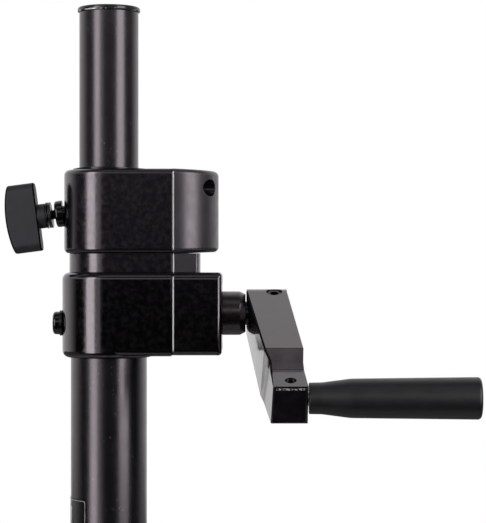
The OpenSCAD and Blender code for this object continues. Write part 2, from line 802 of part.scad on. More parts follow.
// The cable that runs up from the drum and over the pulley, pressed a little thinner where it bends
module cable_rise() {
    bent_r = cable_r - 0.02;
    joint = 0.3;            // how far the straight run reaches into the bend
    color([0.55, 0.55, 0.57]) {
        translate([rise_x, rise_y, crank_z]) cylinder(r = cable_r, h = pulley_z + joint - crank_z);
        translate([0, 0, pulley_z]) rotate([0, 0, pulley_turn]) translate([pulley_place_r, 0, 0])
            rotate([90, 0, 0]) rotate_extrude(angle = 180)
                translate([pulley_line_r, 0]) circle(r = bent_r);
    }
}

// The cable that hangs from the pulley to the foot of the mast
module lift_cable() {
    color([0.55, 0.55, 0.57]) rotate([0, 0, pulley_turn]) translate([cable_line_r, 0, mast_z])
        cylinder(r = cable_r, h = pulley_z - mast_z);
}

module crank_shaft() {
    color([0.6, 0.6, 0.62]) {
        on_shaft(bush_start_x + loose_gap) cylinder(r = journal_r, h = drum_start_x - bush_start_x);
        on_shaft(drum_start_x - loose_gap)
            cylinder(r = shaft_r, h = shaft_end_x - drum_start_x + loose_gap);
    }
}

module cable_drum() {
    core_r = drum_line_r - cable_r;
    color([0.5, 0.5, 0.52]) difference() {
        union() {
            on_shaft(drum_start_x) cylinder(r = drum_flange_r, h = drum_flange_t);
            on_shaft(drum_start_x) cylinder(r = core_r, h = drum_w);
            on_shaft(drum_end_x - drum_flange_t) cylinder(r = drum_flange_r, h = drum_flange_t);
        }
        on_shaft(drum_start_x - cut) cylinder(r = shaft_r + seat_gap, h = drum_w + 2 * cut);
    }
}

module cable_turns() {
    pitch = cable_d + 0.15;
    last_x = rise_x - cable_d - loose_gap;
    color([0.55, 0.55, 0.57]) for (i = [0 : spare_turns - 1])
        on_shaft(last_x - i * pitch) rotate_extrude()
            translate([drum_line_r + seat_gap, 0]) circle(r = cable_r);
}

module friction_disc() {
    color([0.35, 0.2, 0.12]) on_shaft(friction_x) tube(friction_r, shaft_r + seat_gap, friction_t);
}

module one_way_clutch() {
    color([0.5, 0.5, 0.5]) on_shaft(clutch_x) tube(clutch_r, shaft_r + seat_gap, clutch_w);
}

module shaft_circlip() {
    color([0.3, 0.3, 0.3]) on_shaft(circlip_x)
        tube(shaft_r + circlip_rise, shaft_r + seat_gap, circlip_t);
}

// ---------- crank ----------

// Turns what lies towards the front along the arm, with the shaft's axis at the origin
module along_arm() {
    translate([0, 0, crank_z]) rotate([arm_droop, 0, 0]) children();
}

// The arm from the side, reaching towards +X of the sketch, with the shaft at its origin
module arm_side() {
    difference() {
        polygon([
            [-arm_hub_r, arm_hub_r],
            [arm_bend, arm_hub_r],
            [arm_bend + arm_ramp, arm_end_top],
            [arm_len, arm_end_top],
            [arm_len, -arm_hub_r - arm_sag],
            [0, -arm_hub_r],
            [-arm_hub_r, -arm_hub_r]]);
        difference() {
            translate([-arm_hub_r - cut, -arm_hub_r - cut])
                square([arm_hub_r + cut, 2 * (arm_hub_r + cut)]);
            circle(r = arm_hub_r);
        }
    }
}

// The arm from above, reaching towards -Y of the sketch
module arm_plan() {
    half_hub = arm_hub_w / 2;
    half_bend = arm_bend_w / 2;
    half_end = arm_end_w / 2;
    polygon([
        [-half_hub, arm_hub_r],
        [-half_hub, 0],
        [arm_bend_shift - half_bend, -arm_bend],
        [arm_end_shift - half_end - arm_waist_in, -arm_waist],
        [arm_end_shift - half_end, -arm_len],
        [arm_end_shift + half_end, -arm_len],
        [arm_end_shift + half_end - arm_waist_out, -arm_waist],
        [arm_bend_shift + half_bend, -arm_bend],
        [half_hub, 0],
        [half_hub, arm_hub_r]]);
}

module at_shaft_screw() {
    along_arm() translate([arm_mid_x + shaft_screw_shift, 0, arm_hub_r]) children();
}

module at_axle_screw() {
    along_arm() translate([arm_end_x, -arm_reach, arm_end_top]) children();
}

module at_grip_axle() {
    along_arm() translate([0, -arm_reach, -arm_end_down]) rotate([0, 90, 0]) children();
}

module crank_arm() {
    tall = 2 * (arm_hub_r + arm_sag + cut);
    color([0.16, 0.15, 0.16]) difference() {
        along_arm() intersection() {
            translate([arm_mid_x, 0, 0]) linear_extrude(tall, center = true) arm_plan();
            translate([arm_x - cut, 0, 0]) rotate([90, 0, -90]) mirror([0, 0, 1])
                linear_extrude(arm_hub_w + arm_end_shift + 3 * cut) arm_side();
        }
        on_shaft(arm_x - cut) cylinder(r = shaft_r + seat_gap, h = shaft_end_x - arm_x + cut + slide_gap);
        at_grip_axle() translate([0, 0, arm_end_x - arm_end_w / 2 + grip_axle_wall])
            cylinder(d = axle_d + 2 * seat_gap, h = arm_end_w);
        at_shaft_screw() translate([0, 0, -arm_hub_r])
            cylinder(d = shaft_screw_d + 2 * seat_gap, h = arm_hub_r + cut);
        at_axle_screw() translate([0, 0, -arm_end_t / 2])
            cylinder(d = axle_screw_d + 2 * seat_gap, h = arm_end_t);
    }
}

// A set screw that stands on a shaft of radius r, whose axis lies deep below z = 0
module set_screw(d, deep, r) {
    len = deep - r - set_screw_deep - seat_gap;
    translate([0, 0, -set_screw_deep - len]) difference() {
        cylinder(d = d, h = len);
        translate([0, 0, len - 2.5]) hex_socket(d / 2, 3);
    }
}

module arm_set_screws() {
    color([0.2, 0.2, 0.22]) {
        at_shaft_screw() set_screw(shaft_screw_d, arm_hub_r, shaft_r + slide_gap);
        at_axle_screw() set_screw(axle_screw_d, arm_end_t / 2, axle_d / 2 + slide_gap);
    }
}

module grip_axle() {
    start_x = arm_end_x - arm_end_w / 2 + grip_axle_wall + seat_gap;
    color([0.6, 0.6, 0.62]) at_grip_axle() translate([0, 0, start_x])
        cylinder(d = axle_d, h = grip_x + grip_len - grip_end_wall - loose_gap - start_x);
}

module crank_grip() {
    neck = grip_neck_d / 2;
    flare = grip_flare_d / 2;
    end = grip_end_d / 2;
    color([0.1, 0.1, 0.11]) at_grip_axle() translate([0, 0, grip_x]) difference() {
        rotate_extrude() {
            polygon([
                [0, 0], [neck, 0], [neck, grip_neck_len], [flare, grip_flare_len],
                [end, grip_len - grip_edge_r], [end - grip_edge_r, grip_len], [0, grip_len]]);
            translate([end - grip_edge_r, grip_len - grip_edge_r]) intersection() {
                circle(r = grip_edge_r);
                square(grip_edge_r);
            }
        }
        translate([0, 0, -cut]) cylinder(d = axle_d + 2 * run_gap, h = grip_len - grip_end_wall + cut);
    }
}

module cable_pulley() {
    groove_r = cable_r + loose_gap;
    color([0.7, 0.7, 0.65]) at_pulley_axle() difference() {
        cylinder(r = pulley_rim_r, h = pulley_t, center = true);
        cylinder(d = pulley_axle_d + 2 * run_gap, h = pulley_t + 2 * cut, center = true);
        rotate_extrude() translate([pulley_line_r, 0]) {
            circle(r = groove_r);
            translate([0, -groove_r]) square([pulley_rim + cut, 2 * groove_r]);
        }
    }
}

// ---------- mast ----------

module mast_tube() {
    color([0.07, 0.07, 0.08]) translate([0, 0, mast_z]) tube(mast_r, mast_in_r, mast_len);
}

module mast_top_collar() {
    top = mast_z + mast_len;
    color([0.05, 0.05, 0.05]) difference() {
        union() {
            translate([0, 0, top + lip_h - spigot_depth])
                cylinder(r = mast_in_r - seat_gap, h = spigot_depth - lip_h / 2);
            translate([0, 0, top + seat_gap]) rotate_extrude() intersection() {
                rounded_rect(lip_d, 2 * lip_h, head_edge);
                square([lip_d / 2, lip_h - seat_gap]);
            }
        }
        translate([0, 0, top + lip_h - spigot_depth - cut])
            cylinder(d = spigot_d, h = spigot_depth + 2 * cut);
    }
}

module mast_foot_glide() {
    color([0.85, 0.85, 0.8]) difference() {
        union() {
            translate([0, 0, glide_z]) cylinder(r = column_in_r - slide_gap, h = glide_len - seat_gap);
            translate([0, 0, glide_z]) cylinder(r = mast_in_r - seat_gap, h = glide_len + glide_plug_len);
        }
        rotate([0, 0, pulley_turn]) translate([cable_line_r, 0, glide_z - cut])
            cylinder(r = ferrule_r + slide_gap, h = glide_len + 2 * cut);
        translate([0, 0, glide_z - cut])
            cylinder(r = mast_in_r - glide_wall, h = glide_len + glide_plug_len + 2 * cut);
    }
}

// The ferrule on the cable's end, in the side of the glide
module cable_anchor() {
    color([0.7, 0.6, 0.4]) rotate([0, 0, pulley_turn]) translate([cable_line_r, 0, glide_z + loose_gap])
        cylinder(r = ferrule_r, h = glide_len - loose_gap - slide_gap);
}

// ---------- lock knobs ----------

module washer_stack() {
    color([0.3, 0.3, 0.32]) for (i = [0 : lock_washers_n - 1])
        translate([0, 0, lock_boss_out + lock_bare_len + i * (lock_washer_t + lock_washer_gap)])
            tube(lock_washer_d / 2, lock_screw_d / 2 + 2 * slide_gap, lock_washer_t);
}

// A lock screw from its tip, inside the housing, to its end in the knob
module lock_rod(tip) {
    color([0.25, 0.25, 0.27]) translate([0, 0, tip])
        cylinder(d = lock_screw_d, h = knob_start + knob_hub_len + lock_rod_in_knob - tip);
}

// The moulded knob: a round hub and a bar that is thicker in its middle
module t_knob() {
    sag = knob_bar_mid - knob_bar_end;
    arc_r = (pow(knob_bar_len / 2, 2) + pow(sag, 2)) / (2 * sag);
    bar_round = 5;
    color([0.12, 0.12, 0.14]) difference() {
        union() {
            translate([0, 0, knob_start]) cylinder(d = knob_hub_d, h = knob_hub_len + cut);
            translate([0, 0, knob_start + knob_hub_len]) intersection() {
                linear_extrude(knob_bar_mid) rounded_rect(knob_bar_len, knob_bar_w, bar_round);
                translate([0, 0, knob_bar_mid - arc_r]) rotate([90, 0, 0])
                    cylinder(r = arc_r, h = knob_bar_w + 2 * cut, center = true, $fn = 180);
            }
        }
        cylinder(d = lock_screw_d + 2 * seat_gap,
            h = knob_start + knob_hub_len + lock_rod_in_knob + seat_gap);
    }
}

module lock_washers() {
    at_mast_lock() washer_stack();
}

module lock_pad() {
    color([0.75, 0.6, 0.3]) at_mast_lock() translate([0, 0, -pad_in]) cylinder(d = pad_d, h = pad_t);
}

module lock_screw() {
    at_mast_lock() lock_rod(-pad_in + pad_t + seat_gap);
}

module lock_knob() {
    at_mast_lock() t_knob();
}

// ---------- tripod ----------

module at_leg_lock() {
    translate([0, 0, leg_hinge_z]) rotate([0, 0, leg_lock_turn]) translate([hub_out_r, 0, 0])
        rotate([0, 90, 0]) children();
}

module leg_hub() {
    color([0.05, 0.05, 0.05]) difference() {
        union() {
            translate([0, 0, leg_hinge_z - leg_hub_h / 2]) cylinder(r = hub_out_r, h = leg_hub_h);
            for (a = leg_turns, side = [-1, 1])
                translate([0, 0, leg_hinge_z]) rotate([0, 0, a])
                    translate([0, side * (strap_y + ear_t / 2), 0]) lug(column_r, ear_t);
            at_leg_lock() translate([0, 0, -2 * cut])
                cylinder(d = lock_boss_d, h = lock_boss_out + 2 * cut);
        }
        translate([0, 0, leg_hinge_z - leg_hub_h / 2 - cut])
            cylinder(r = hub_in_r + seat_gap, h = leg_hub_h + 2 * cut);
        for (a = leg_turns)
            translate([0, 0, leg_hinge_z]) rotate([0, 0, a]) translate([hinge_r, 0, 0])
                rotate([90, 0, 0])
                    cylinder(r = hinge_bolt_r + seat_gap, h = 2 * (strap_y + ear_t + cut), center = true);
        at_leg_lock() translate([0, 0, -hub_wall - 2 * cut])
            cylinder(d = lock_screw_d + 2 * run_gap, h = hub_wall + lock_boss_out + 4 * cut);
    }
}

module leg_hub_liner() {
    color([0.2, 0.2, 0.2]) difference() {
        translate([0, 0, leg_hinge_z - leg_hub_h / 2]) tube(hub_in_r, column_r + loose_gap, leg_hub_h);
        at_leg_lock() translate([0, 0, -hub_out_r + column_r - cut])
            cylinder(d = lock_screw_d + 2 * loose_gap, h = hub_out_r);
    }
}

// A hinge bolt across a leg, with its head and nut outside half the width, and its middle at the origin
module hinge_bolt(half) {
    rotate([90, 0, 0]) {
        cylinder(r = hinge_bolt_r, h = 2 * half + 2 * seat_gap, center = true);
        translate([0, 0, half + seat_gap]) rotate_extrude() intersection() {
            rounded_rect(hinge_head_d, 2 * hinge_head_h, head_edge);
            square([hinge_head_d / 2, hinge_head_h]);
        }
        translate([0, 0, -half - seat_gap - hinge_head_h])
            cylinder(d = hinge_head_d, h = hinge_head_h, $fn = 6);
    }
}

module leg_hub_bolts() {
    color([0.4, 0.4, 0.42]) for (a = leg_turns)
        translate([0, 0, leg_hinge_z]) rotate([0, 0, a]) translate([hinge_r, 0, 0])
            hinge_bolt(strap_y + ear_t);
}

module leg_lock_washers() {
    at_leg_lock() washer_stack();
}

module leg_lock_screw() {
    at_leg_lock() lock_rod(column_r - hub_out_r + leg_lock_tip_gap);
}

module leg_lock_knob() {
    at_leg_lock() rotate([0, 0, 90]) t_knob();
}

// Turns what hangs down from the origin along an open leg
module along_leg(turn) {
    rotate([0, 0, turn]) translate([hinge_r, 0, leg_hinge_z]) rotate([0, -leg_angle, 0]) children();
}

module leg(turn) {
    color([0.07, 0.07, 0.08]) along_leg(turn) difference() {
        translate([0, 0, -leg_reach]) tube(leg_r, leg_r - leg_wall, leg_reach + leg_over);
        for (down = [0, brace_len])
            translate([0, 0, -down]) rotate([90, 0, 0])
                cylinder(r = hinge_bolt_r + run_gap, h = leg_d + 2 * cut, center = true);
    }
}

module foot(turn) {
    floor_size = 4 * foot_r;
    color([0.04, 0.04, 0.04]) intersection() {
        along_leg(turn) translate([0, 0, -leg_reach]) difference() {
            union() {
                sphere(r = foot_r);
                cylinder(r = foot_r, h = foot_len * 0.35);
                cylinder(r = leg_r + foot_wall, h = foot_len);
            }
            cylinder(r = leg_r + seat_gap, h = foot_len + cut);
        }
        rotate([0, 0, turn])
            translate([hinge_r + leg_reach * sin(leg_angle) - floor_size, -floor_size / 2, 0])
                cube([2 * floor_size, floor_size, floor_size]);
    }
}

// Turns what stands up from the origin along an open brace
module along_brace(turn) {
    rotate([0, 0, turn]) translate([hinge_r, 0, base_hinge_z]) rotate([0, leg_angle, 0]) children();
}

module brace(turn) {
    color([0.1, 0.1, 0.11]) along_brace(turn) for (side = [-1, 1])
        translate([0, side * (strap_y + brace_t / 2), 0]) rotate([90, 0, 0]) difference() {
            linear_extrude(brace_t, center = true) {
                for (up = [0, brace_len]) translate([0, up]) circle(d = brace_w);
                translate([-brace_w / 2, 0]) square([brace_w, brace_len]);
            }
            for (up = [0, brace_len]) translate([0, up, 0])
                cylinder(r = hinge_bolt_r + seat_gap, h = brace_t + 2 * cut, center = true);
        }
}

// The hinge at the leg is one bolt; at the base hub each brace has a rivet of its own
module brace_bolts(turn) {
    color([0.4, 0.4, 0.42]) along_brace(turn) {
        translate([0, 0, brace_len]) hinge_bolt(strap_y + brace_t);
        for (side = [0, 180])
            rotate([0, 0, side]) translate([0, strap_y + slide_gap, 0]) rotate([-90, 0, 0]) {
                cylinder(r = hinge_bolt_r, h = brace_t);
                translate([0, 0, brace_t - seat_gap]) cylinder(d = hinge_head_d, h = hinge_head_h);
            }
    }
}

// ---------- the whole stand ----------

column_tube();
column_label();
base_hub();
base_plug();
base_hub_screws();
lower_housing();
winch_cover();
winch_cover_screws();
housing_neck();
neck_cover();
upper_housing();
pulley_cap();
pulley_cap_screws();
clamp_bolt();
clamp_washer();
mast_guide_bush();
lock_boss();
crank_bearing();
shaft_bush();
brake_plate();
pulley_axle();
cable_rise();
lift_cable();
mast_tube();
mast_top_collar();
mast_foot_glide();
cable_anchor();
crank_shaft();
cable_drum();
cable_turns();
friction_disc();
one_way_clutch();
shaft_circlip();
crank_arm();
arm_set_screws();
grip_axle();
crank_grip();
cable_pulley();
lock_washers();
lock_pad();
lock_screw();
lock_knob();
leg_hub();
leg_hub_liner();
leg_hub_bolts();
leg_lock_washers();
leg_lock_screw();
leg_lock_knob();
leg(leg_turns[0]);  // leg_1
leg(leg_turns[1]);  // leg_2
leg(leg_turns[2]);  // leg_3
foot(leg_turns[0]);  // foot_1
foot(leg_turns[1]);  // foot_2
foot(leg_turns[2]);  // foot_3
brace(leg_turns[0]);  // brace_1
brace(leg_turns[1]);  // brace_2
brace(leg_turns[2]);  // brace_3
brace_bolts(leg_turns[0]);  // brace_bolts_1
brace_bolts(leg_turns[1]);  // brace_bolts_2
brace_bolts(leg_turns[2]);  // brace_bolts_3
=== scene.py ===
# %% [markdown]
# # A crank lighting stand, dressed for the camera
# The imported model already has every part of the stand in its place: column, mast, winch head and tripod.
# This lesson keeps that model as it is and adds what a camera would notice: smooth turned parts,
# rounded casting edges, the thread of a lock screw, and paint, plastic, rubber and steel that look real.
# Everything is in metres. +Z is up, +X runs along the crank shaft and -Y is the front.

import json
import math

import bmesh
import bpy
from mathutils import Matrix, Vector


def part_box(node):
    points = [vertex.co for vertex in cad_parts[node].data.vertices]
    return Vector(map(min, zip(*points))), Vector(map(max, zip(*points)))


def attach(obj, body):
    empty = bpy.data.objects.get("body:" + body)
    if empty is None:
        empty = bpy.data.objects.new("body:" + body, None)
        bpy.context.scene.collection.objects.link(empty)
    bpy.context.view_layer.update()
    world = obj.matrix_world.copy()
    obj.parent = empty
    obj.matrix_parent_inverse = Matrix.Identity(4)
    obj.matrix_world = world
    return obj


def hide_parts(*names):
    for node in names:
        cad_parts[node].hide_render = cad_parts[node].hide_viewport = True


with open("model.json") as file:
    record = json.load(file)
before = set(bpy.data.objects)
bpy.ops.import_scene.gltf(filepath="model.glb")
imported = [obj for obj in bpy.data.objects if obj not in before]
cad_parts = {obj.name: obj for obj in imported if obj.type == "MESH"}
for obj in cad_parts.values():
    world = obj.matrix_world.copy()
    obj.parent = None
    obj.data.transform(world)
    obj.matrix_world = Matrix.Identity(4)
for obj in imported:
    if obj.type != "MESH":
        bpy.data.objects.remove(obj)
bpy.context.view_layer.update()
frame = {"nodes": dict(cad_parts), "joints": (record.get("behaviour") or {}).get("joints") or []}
MM = 0.001
TINY = 1e-7


def mm(*lengths):
    """Lengths in millimetres, as metres."""
    return [length * MM for length in lengths]


# %% [markdown]
# ## Where things are
# A node of the model tells where it is through its box, and a joint tells the axis that a part turns on.
# Reading places from these two, instead of typing numbers twice, keeps each new piece on its CAD part.

# %% Axes of the joints
JOINTS = {joint["name"]: joint for joint in frame["joints"]}


def place_on(origin, up, side):
    """A matrix that stands a piece at origin, with its Z along up and its X as near to side as it can be."""
    z = Vector(up).normalized()
    y = z.cross(Vector(side)).normalized()
    x = y.cross(z)
    turn = Matrix((x, y, z)).transposed().to_4x4()
    return Matrix.Translation(Vector(origin)) @ turn


def axis_of(joint, outwards=1):
    """Origin and direction of a joint, as vectors."""
    return Vector(JOINTS[joint]["pos_m"]), outwards * Vector(JOINTS[joint]["axis"])


DOWN = Vector((0, 0, -1))
UPRIGHT = Matrix.Identity(4)
shaft_at, _ = axis_of("crank_turn")
shaft_place = place_on((0, 0, shaft_at.z), (1, 0, 0), DOWN)
print("The crank shaft lies", round(shaft_at.z, 4), "m above the floor")

# %% [markdown]
# ## Tools for turned parts
# Most parts of a stand are turned on a lathe: tubes, collars, knobs' hubs, the grip. A lathe piece needs
# only a half outline. `soften` rounds its corners, because no real edge is perfectly sharp and it is the
# small round edge that catches the light. `lathe` then spins the outline round its axis.

# %% Outline and lathe
CORNER_STEP = math.radians(12)


def soften(corners):
    """Turn (x, y, radius) corners into a smooth outline of 2-D points."""
    outline = []
    for i, (x, y, radius) in enumerate(corners):
        here = Vector((x, y))
        if radius == 0:
            outline.append(here)
            continue
        back = (Vector(corners[i - 1][:2]) - here).normalized()
        ahead = (Vector(corners[(i + 1) % len(corners)][:2]) - here).normalized()
        opening = back.angle(ahead)
        centre = here + (back + ahead).normalized() * radius / math.sin(opening / 2)
        first = here + back * radius / math.tan(opening / 2) - centre
        sweep = first.angle_signed(here + ahead * radius / math.tan(opening / 2) - centre)
        steps = max(2, math.ceil(abs(sweep) / CORNER_STEP))
        for k in range(steps + 1):
            spoke = first.copy()
            spoke.rotate(Matrix.Rotation(-sweep * k / steps, 2))
            outline.append(centre + spoke)
    return outline


def polar(radius, turn, height):
    return Vector((radius * math.cos(turn), radius * math.sin(turn), height))


def lathe(bm, outline, place=UPRIGHT, around=96):
    """Spin an outline of (radius, height) points about the Z axis of place, and join up its two ends."""
    rings = []
    for point in outline:
        count = 1 if point.x < TINY else around
        turns = [math.tau * k / count for k in range(count)]
        rings.append([bm.verts.new(place @ polar(point.x, a, point.y)) for a in turns])
    for lower, upper in zip(rings, rings[1:] + rings[:1]):
        for k in range(around):
            ring = [lower[k % len(lower)], lower[(k + 1) % len(lower)],
                    upper[(k + 1) % len(upper)], upper[k % len(upper)]]
            face = list(dict.fromkeys(ring))
            if len(face) > 2:
                bm.faces.new(face)
    return bm


def hollow(inner, outer, low, high, edge):
    """The outline of a tube, with rounded ends."""
    return soften([(inner, low, edge), (outer, low, edge), (outer, high, edge), (inner, high, edge)])


one_corner = soften([(0, 0, 0), (1, 0, 0.2), (1, 1, 0)])
print("An outline with one rounded corner has", len(one_corner), "points")

# %% [markdown]
# ## Tools for cast parts
# The housings are castings: an outline seen from above, pulled up into a block whose upper and lower edges
# are round. The outline carries its outward direction at each point, so each row of the rounded edge is the
# same outline moved inwards. Holes are cut afterwards with Boolean cutters, as a drill would cut them.

# %% Blocks, cuts and holes
def arc(centre, radius, start, end, step=5):
    """Points of an arc from start to end in degrees, each with its outward direction."""
    count = max(2, round(abs(end - start) / step))
    made = []
    for k in range(count + 1):
        a = math.radians(start + (end - start) * k / count)
        out = Vector((math.cos(a), math.sin(a)))
        made.append((Vector(centre) + radius * out, out))
    return made


def skin(bm, rings, endless=False):
    """Faces between each ring of points and the next one; the two ends are closed, or joined if endless."""
    for lower, upper in zip(rings, rings[1:] + (rings[:1] if endless else [])):
        for k in range(len(lower)):
            n = (k + 1) % len(lower)
            bm.faces.new([lower[k], lower[n], upper[n], upper[k]])
    if not endless:
        bm.faces.new(rings[0][::-1])
        bm.faces.new(rings[-1])
    return bm


def block(bm, outline, low, high, edge, steps=7):
    """A block with round upper and lower edges. A point of the outline may bring its own edge radius."""
    turns = [math.pi / 2 * k / steps for k in range(steps + 1)]
    rows = [(low, 1, 1 - math.sin(a), 1 - math.cos(a)) for a in turns]
    rows += [(high, -1, inwards, up) for _, _, inwards, up in reversed(rows)]
    rings = []
    for level, way, inwards, up in rows:
        ring = []
        for point, out, *own in outline:
            radius = own[0] if own else edge
            ring.append(bm.verts.new((*(point - out * radius * inwards), level + way * radius * up)))
        rings.append(ring)
    return skin(bm, rings)


UPRIGHT_FACE = 0.9


def slice_at(bm, point, normal, drop=False):
    """Cut along a plane, drop what lies on the normal's side if asked to, and return what the cut made."""
    return bmesh.ops.bisect_plane(
        bm, geom=bm.verts[:] + bm.edges[:] + bm.faces[:], dist=TINY,
        plane_co=point, plane_no=normal, clear_outer=drop)["geom_cut"]


def round_off(bm, edges, width, segments=3, finish=-1):
    """Round these edges, and give the new faces a finish's slot."""
    bmesh.ops.bevel(bm, geom=edges, offset=width, segments=segments, profile=0.5, affect="EDGES",
                    material=finish)


def slice_off(bm, at, away, edge, strip=()):
    """Cut off what lies beyond the plane at x = at, on the side that away points to, and round that edge.

    The upright faces between the two distances of strip, measured from the plane, get the second finish, and
    all that lies nearer to the plane gets the third.
    """
    cut = slice_at(bm, (at, 0, 0), (away, 0, 0), drop=True)
    rim = [e for e in cut if isinstance(e, bmesh.types.BMEdge)]
    bmesh.ops.contextual_create(bm, geom=rim)
    round_off(bm, rim, edge)
    for distance in strip:
        slice_at(bm, (at - away * distance, 0, 0), (1, 0, 0))
    bm.normal_update()
    for face in bm.faces:
        depth = away * (at - face.calc_center_median().x)
        if strip and depth < strip[0]:
            face.material_index = 2
        elif strip and depth < strip[1] and abs(face.normal.y) > UPRIGHT_FACE:
            face.material_index = 1
    return bm


def round_sharp(bm, width, above, segments=3, finish=-1):
    """Round every edge whose faces turn by more than that many degrees."""
    bm.normal_update()
    sharp = [e for e in bm.edges if e.is_manifold and math.degrees(e.calc_face_angle()) > above]
    round_off(bm, sharp, width, segments, finish)


def to_object(name, bm):
    """An object of the scene from a bmesh, with its faces outwards."""
    bmesh.ops.recalc_face_normals(bm, faces=bm.faces[:])
    mesh = bpy.data.meshes.new(name)
    bm.to_mesh(mesh)
    bm.free()
    made = bpy.data.objects.new(name, mesh)
    bpy.context.scene.collection.objects.link(made)
    return made


def combine(bm, name, shapes, finishes=(), operation="DIFFERENCE"):
    """Cut the shapes out of a bmesh, or join them to it, and return the result as an object."""
    made = to_object(name, bm)
    for finish in finishes:
        made.data.materials.append(finish)
    tools = [to_object(name + "_tool", shape) for shape in shapes]
    for tool in tools:
        step = made.modifiers.new("step", "BOOLEAN")
        step.operation = operation
        step.solver = "EXACT"
        step.object = tool
    settled = made.evaluated_get(bpy.context.evaluated_depsgraph_get())
    mesh = bpy.data.meshes.new_from_object(settled)
    made.modifiers.clear()
    made.data = mesh
    for tool in tools:
        bpy.data.objects.remove(tool)
    return made


def fuse(bm, shape):
    """Join a shape to a bmesh, and return the two as one bmesh."""
    made = combine(bm, "blank", [shape], operation="UNION")
    fused = bmesh.new()
    fused.from_mesh(made.data)
    bpy.data.objects.remove(made)
    return fused


def rod(radius, start, end, place=UPRIGHT, around=64):
    """A plain cylinder to cut or join with."""
    outline = [Vector(p) for p in ((0, start), (radius, start), (radius, end), (0, end))]
    return lathe(bmesh.new(), outline, place, around)


SHARP_FROM = math.radians(34)


def add_piece(made, body, slot, finish, *nodes):
    """Shade a piece, give it its finish, let it ride on a body and stand for CAD nodes."""
    if not made.data.materials:
        made.data.materials.append(finish)
    made.data.shade_smooth()
    made.data.set_sharp_from_angle(angle=SHARP_FROM)
    even = made.modifiers.new("even_shading", "WEIGHTED_NORMAL")
    even.keep_sharp = True
    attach(made, body)
    if nodes:
        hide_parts(*nodes)
    print(f"{made.name}: {len(made.data.polygons)} faces, rides on {body}")
    return made


print("A piece's edges look sharp from", round(math.degrees(SHARP_FROM)), "degrees on")

# %% [markdown]
# ## Finishes
# A finish starts as one Principled shader with its plain values on its own sockets. Layers of noise then
# give it what a real surface has: a paint's orange peel, cloudy patches in its gloss, dust and scuffs. All
# of them read Object coordinates, which stay with the piece when it moves, and sizes are in millimetres.

# %% Layers that every finish can use
def shader_of(finish):
    return finish.node_tree.nodes["Principled BSDF"]


def new_finish(name, **sockets):
    """A material with one Principled shader, whose sockets are set by name."""
    finish = bpy.data.materials.new(name)
    finish.use_nodes = True
    for socket, value in sockets.items():
        title = socket.replace("_", " ").title().replace("Ior", "IOR")
        shader_of(finish).inputs[title].default_value = value
    return finish


def feed(finish, socket, value):
    """Let a value drive a socket of the finish's shader."""
    finish.node_tree.links.new(value, shader_of(finish).inputs[socket])
    return finish


def add_node(finish, kind, inputs=(), **settings):
    """A node in a finish or in the world, with values or links for its inputs."""
    made = finish.node_tree.nodes.new(kind)
    for key, value in settings.items():
        setattr(made, key, value)
    for key, value in dict(inputs).items():
        if isinstance(value, bpy.types.NodeSocket):
            finish.node_tree.links.new(value, made.inputs[key])
        else:
            made.inputs[key].default_value = value
    return made


def calc(finish, operation, first, second):
    """The product, the larger or another sum of two values."""
    return add_node(finish, "ShaderNodeMath", {0: first, 1: second}, operation=operation).outputs[0]


def noise(finish, size, detail=2.0, stretch=(1, 1, 1)):
    """Noise with spots of about that size, longer along an axis where stretch is small."""
    where = add_node(finish, "ShaderNodeTexCoord").outputs["Object"]
    scaled = add_node(finish, "ShaderNodeMapping", {"Vector": where, "Scale": stretch})
    made = add_node(finish, "ShaderNodeTexNoise", {
        "Vector": scaled.outputs["Vector"], "Scale": 1 / (size * MM), "Detail": detail})
    return made.outputs["Fac"]


def spread(finish, value, low, high, start=0.35, end=0.65):
    """Stretch a noise value between start and end over low to high."""
    made = add_node(finish, "ShaderNodeMapRange", {
        "Value": value, "From Min": start, "From Max": end, "To Min": low, "To Max": high})
    return made.outputs["Result"]


def blend_colours(finish, factor, first, second):
    """Mix two colours, each a value or a link, and return the mixed one."""
    mixed = add_node(finish, "ShaderNodeMix", {"Factor": factor}, data_type="RGBA")
    sides = [side for side in mixed.inputs if side.type == "RGBA"]
    for side, colour in zip(sides, (first, second)):
        if isinstance(colour, bpy.types.NodeSocket):
            finish.node_tree.links.new(colour, side)
        else:
            side.default_value = (*colour, 1)
    return next(out for out in mixed.outputs if out.type == "RGBA")


def mottle(finish, light, dark, size):
    """Let the colour drift between two tones in patches of that size."""
    patches = spread(finish, noise(finish, size, 4), 0, 1)
    return feed(finish, "Base Color", blend_colours(finish, patches, light, dark))


def drift_gloss(finish, low, high, size):
    """Let the roughness drift between two values in patches of that size."""
    return feed(finish, "Roughness", spread(finish, noise(finish, size, 5), low, high))


def relief(finish, *layers):
    """Stack bumps: each layer is (noise value, depth in mm)."""
    normal = None
    for value, depth in layers:
        inputs = {"Height": value, "Distance": depth * MM, "Strength": 1.0}
        if normal:
            inputs["Normal"] = normal
        normal = add_node(finish, "ShaderNodeBump", inputs).outputs["Normal"]
    return feed(finish, "Normal", normal)


def specks(finish, size, share, colour):
    """Sprinkle specks of a colour, such as dust, bare metal or painted glints, over a small share of the
    surface.
    """
    socket = shader_of(finish).inputs["Base Color"]
    spots = spread(finish, noise(finish, size, 1), 0, 1, 0.8 - share, 0.83 - share)
    under = socket.links[0].from_socket if socket.links else tuple(socket.default_value)[:3]
    return feed(finish, "Base Color", blend_colours(finish, spots, under, colour))


print("Layers ready: mottle, drift_gloss, relief, specks")

# %% [markdown]
# ## Black paints
# The stand is black all over, and still no two parts look alike. The castings have a smooth enamel, the
# tubes a powder coat with a fine grain, the pulley cap a satin coat, and the crank arm a wet-looking gloss.
# A dark paint is told apart by its gloss, so the recipes differ in roughness and relief, not in colour.

# %% Mix the paints
# The specular tint of the paints is a painted tint of the light: the pink cast of the studio light, put into
# their highlights.
PAINTED_LIGHT_TINT, DUST_SIZE, DUST = (1.0, 0.88, 0.96, 1), 0.45, (0.10, 0.09, 0.11)


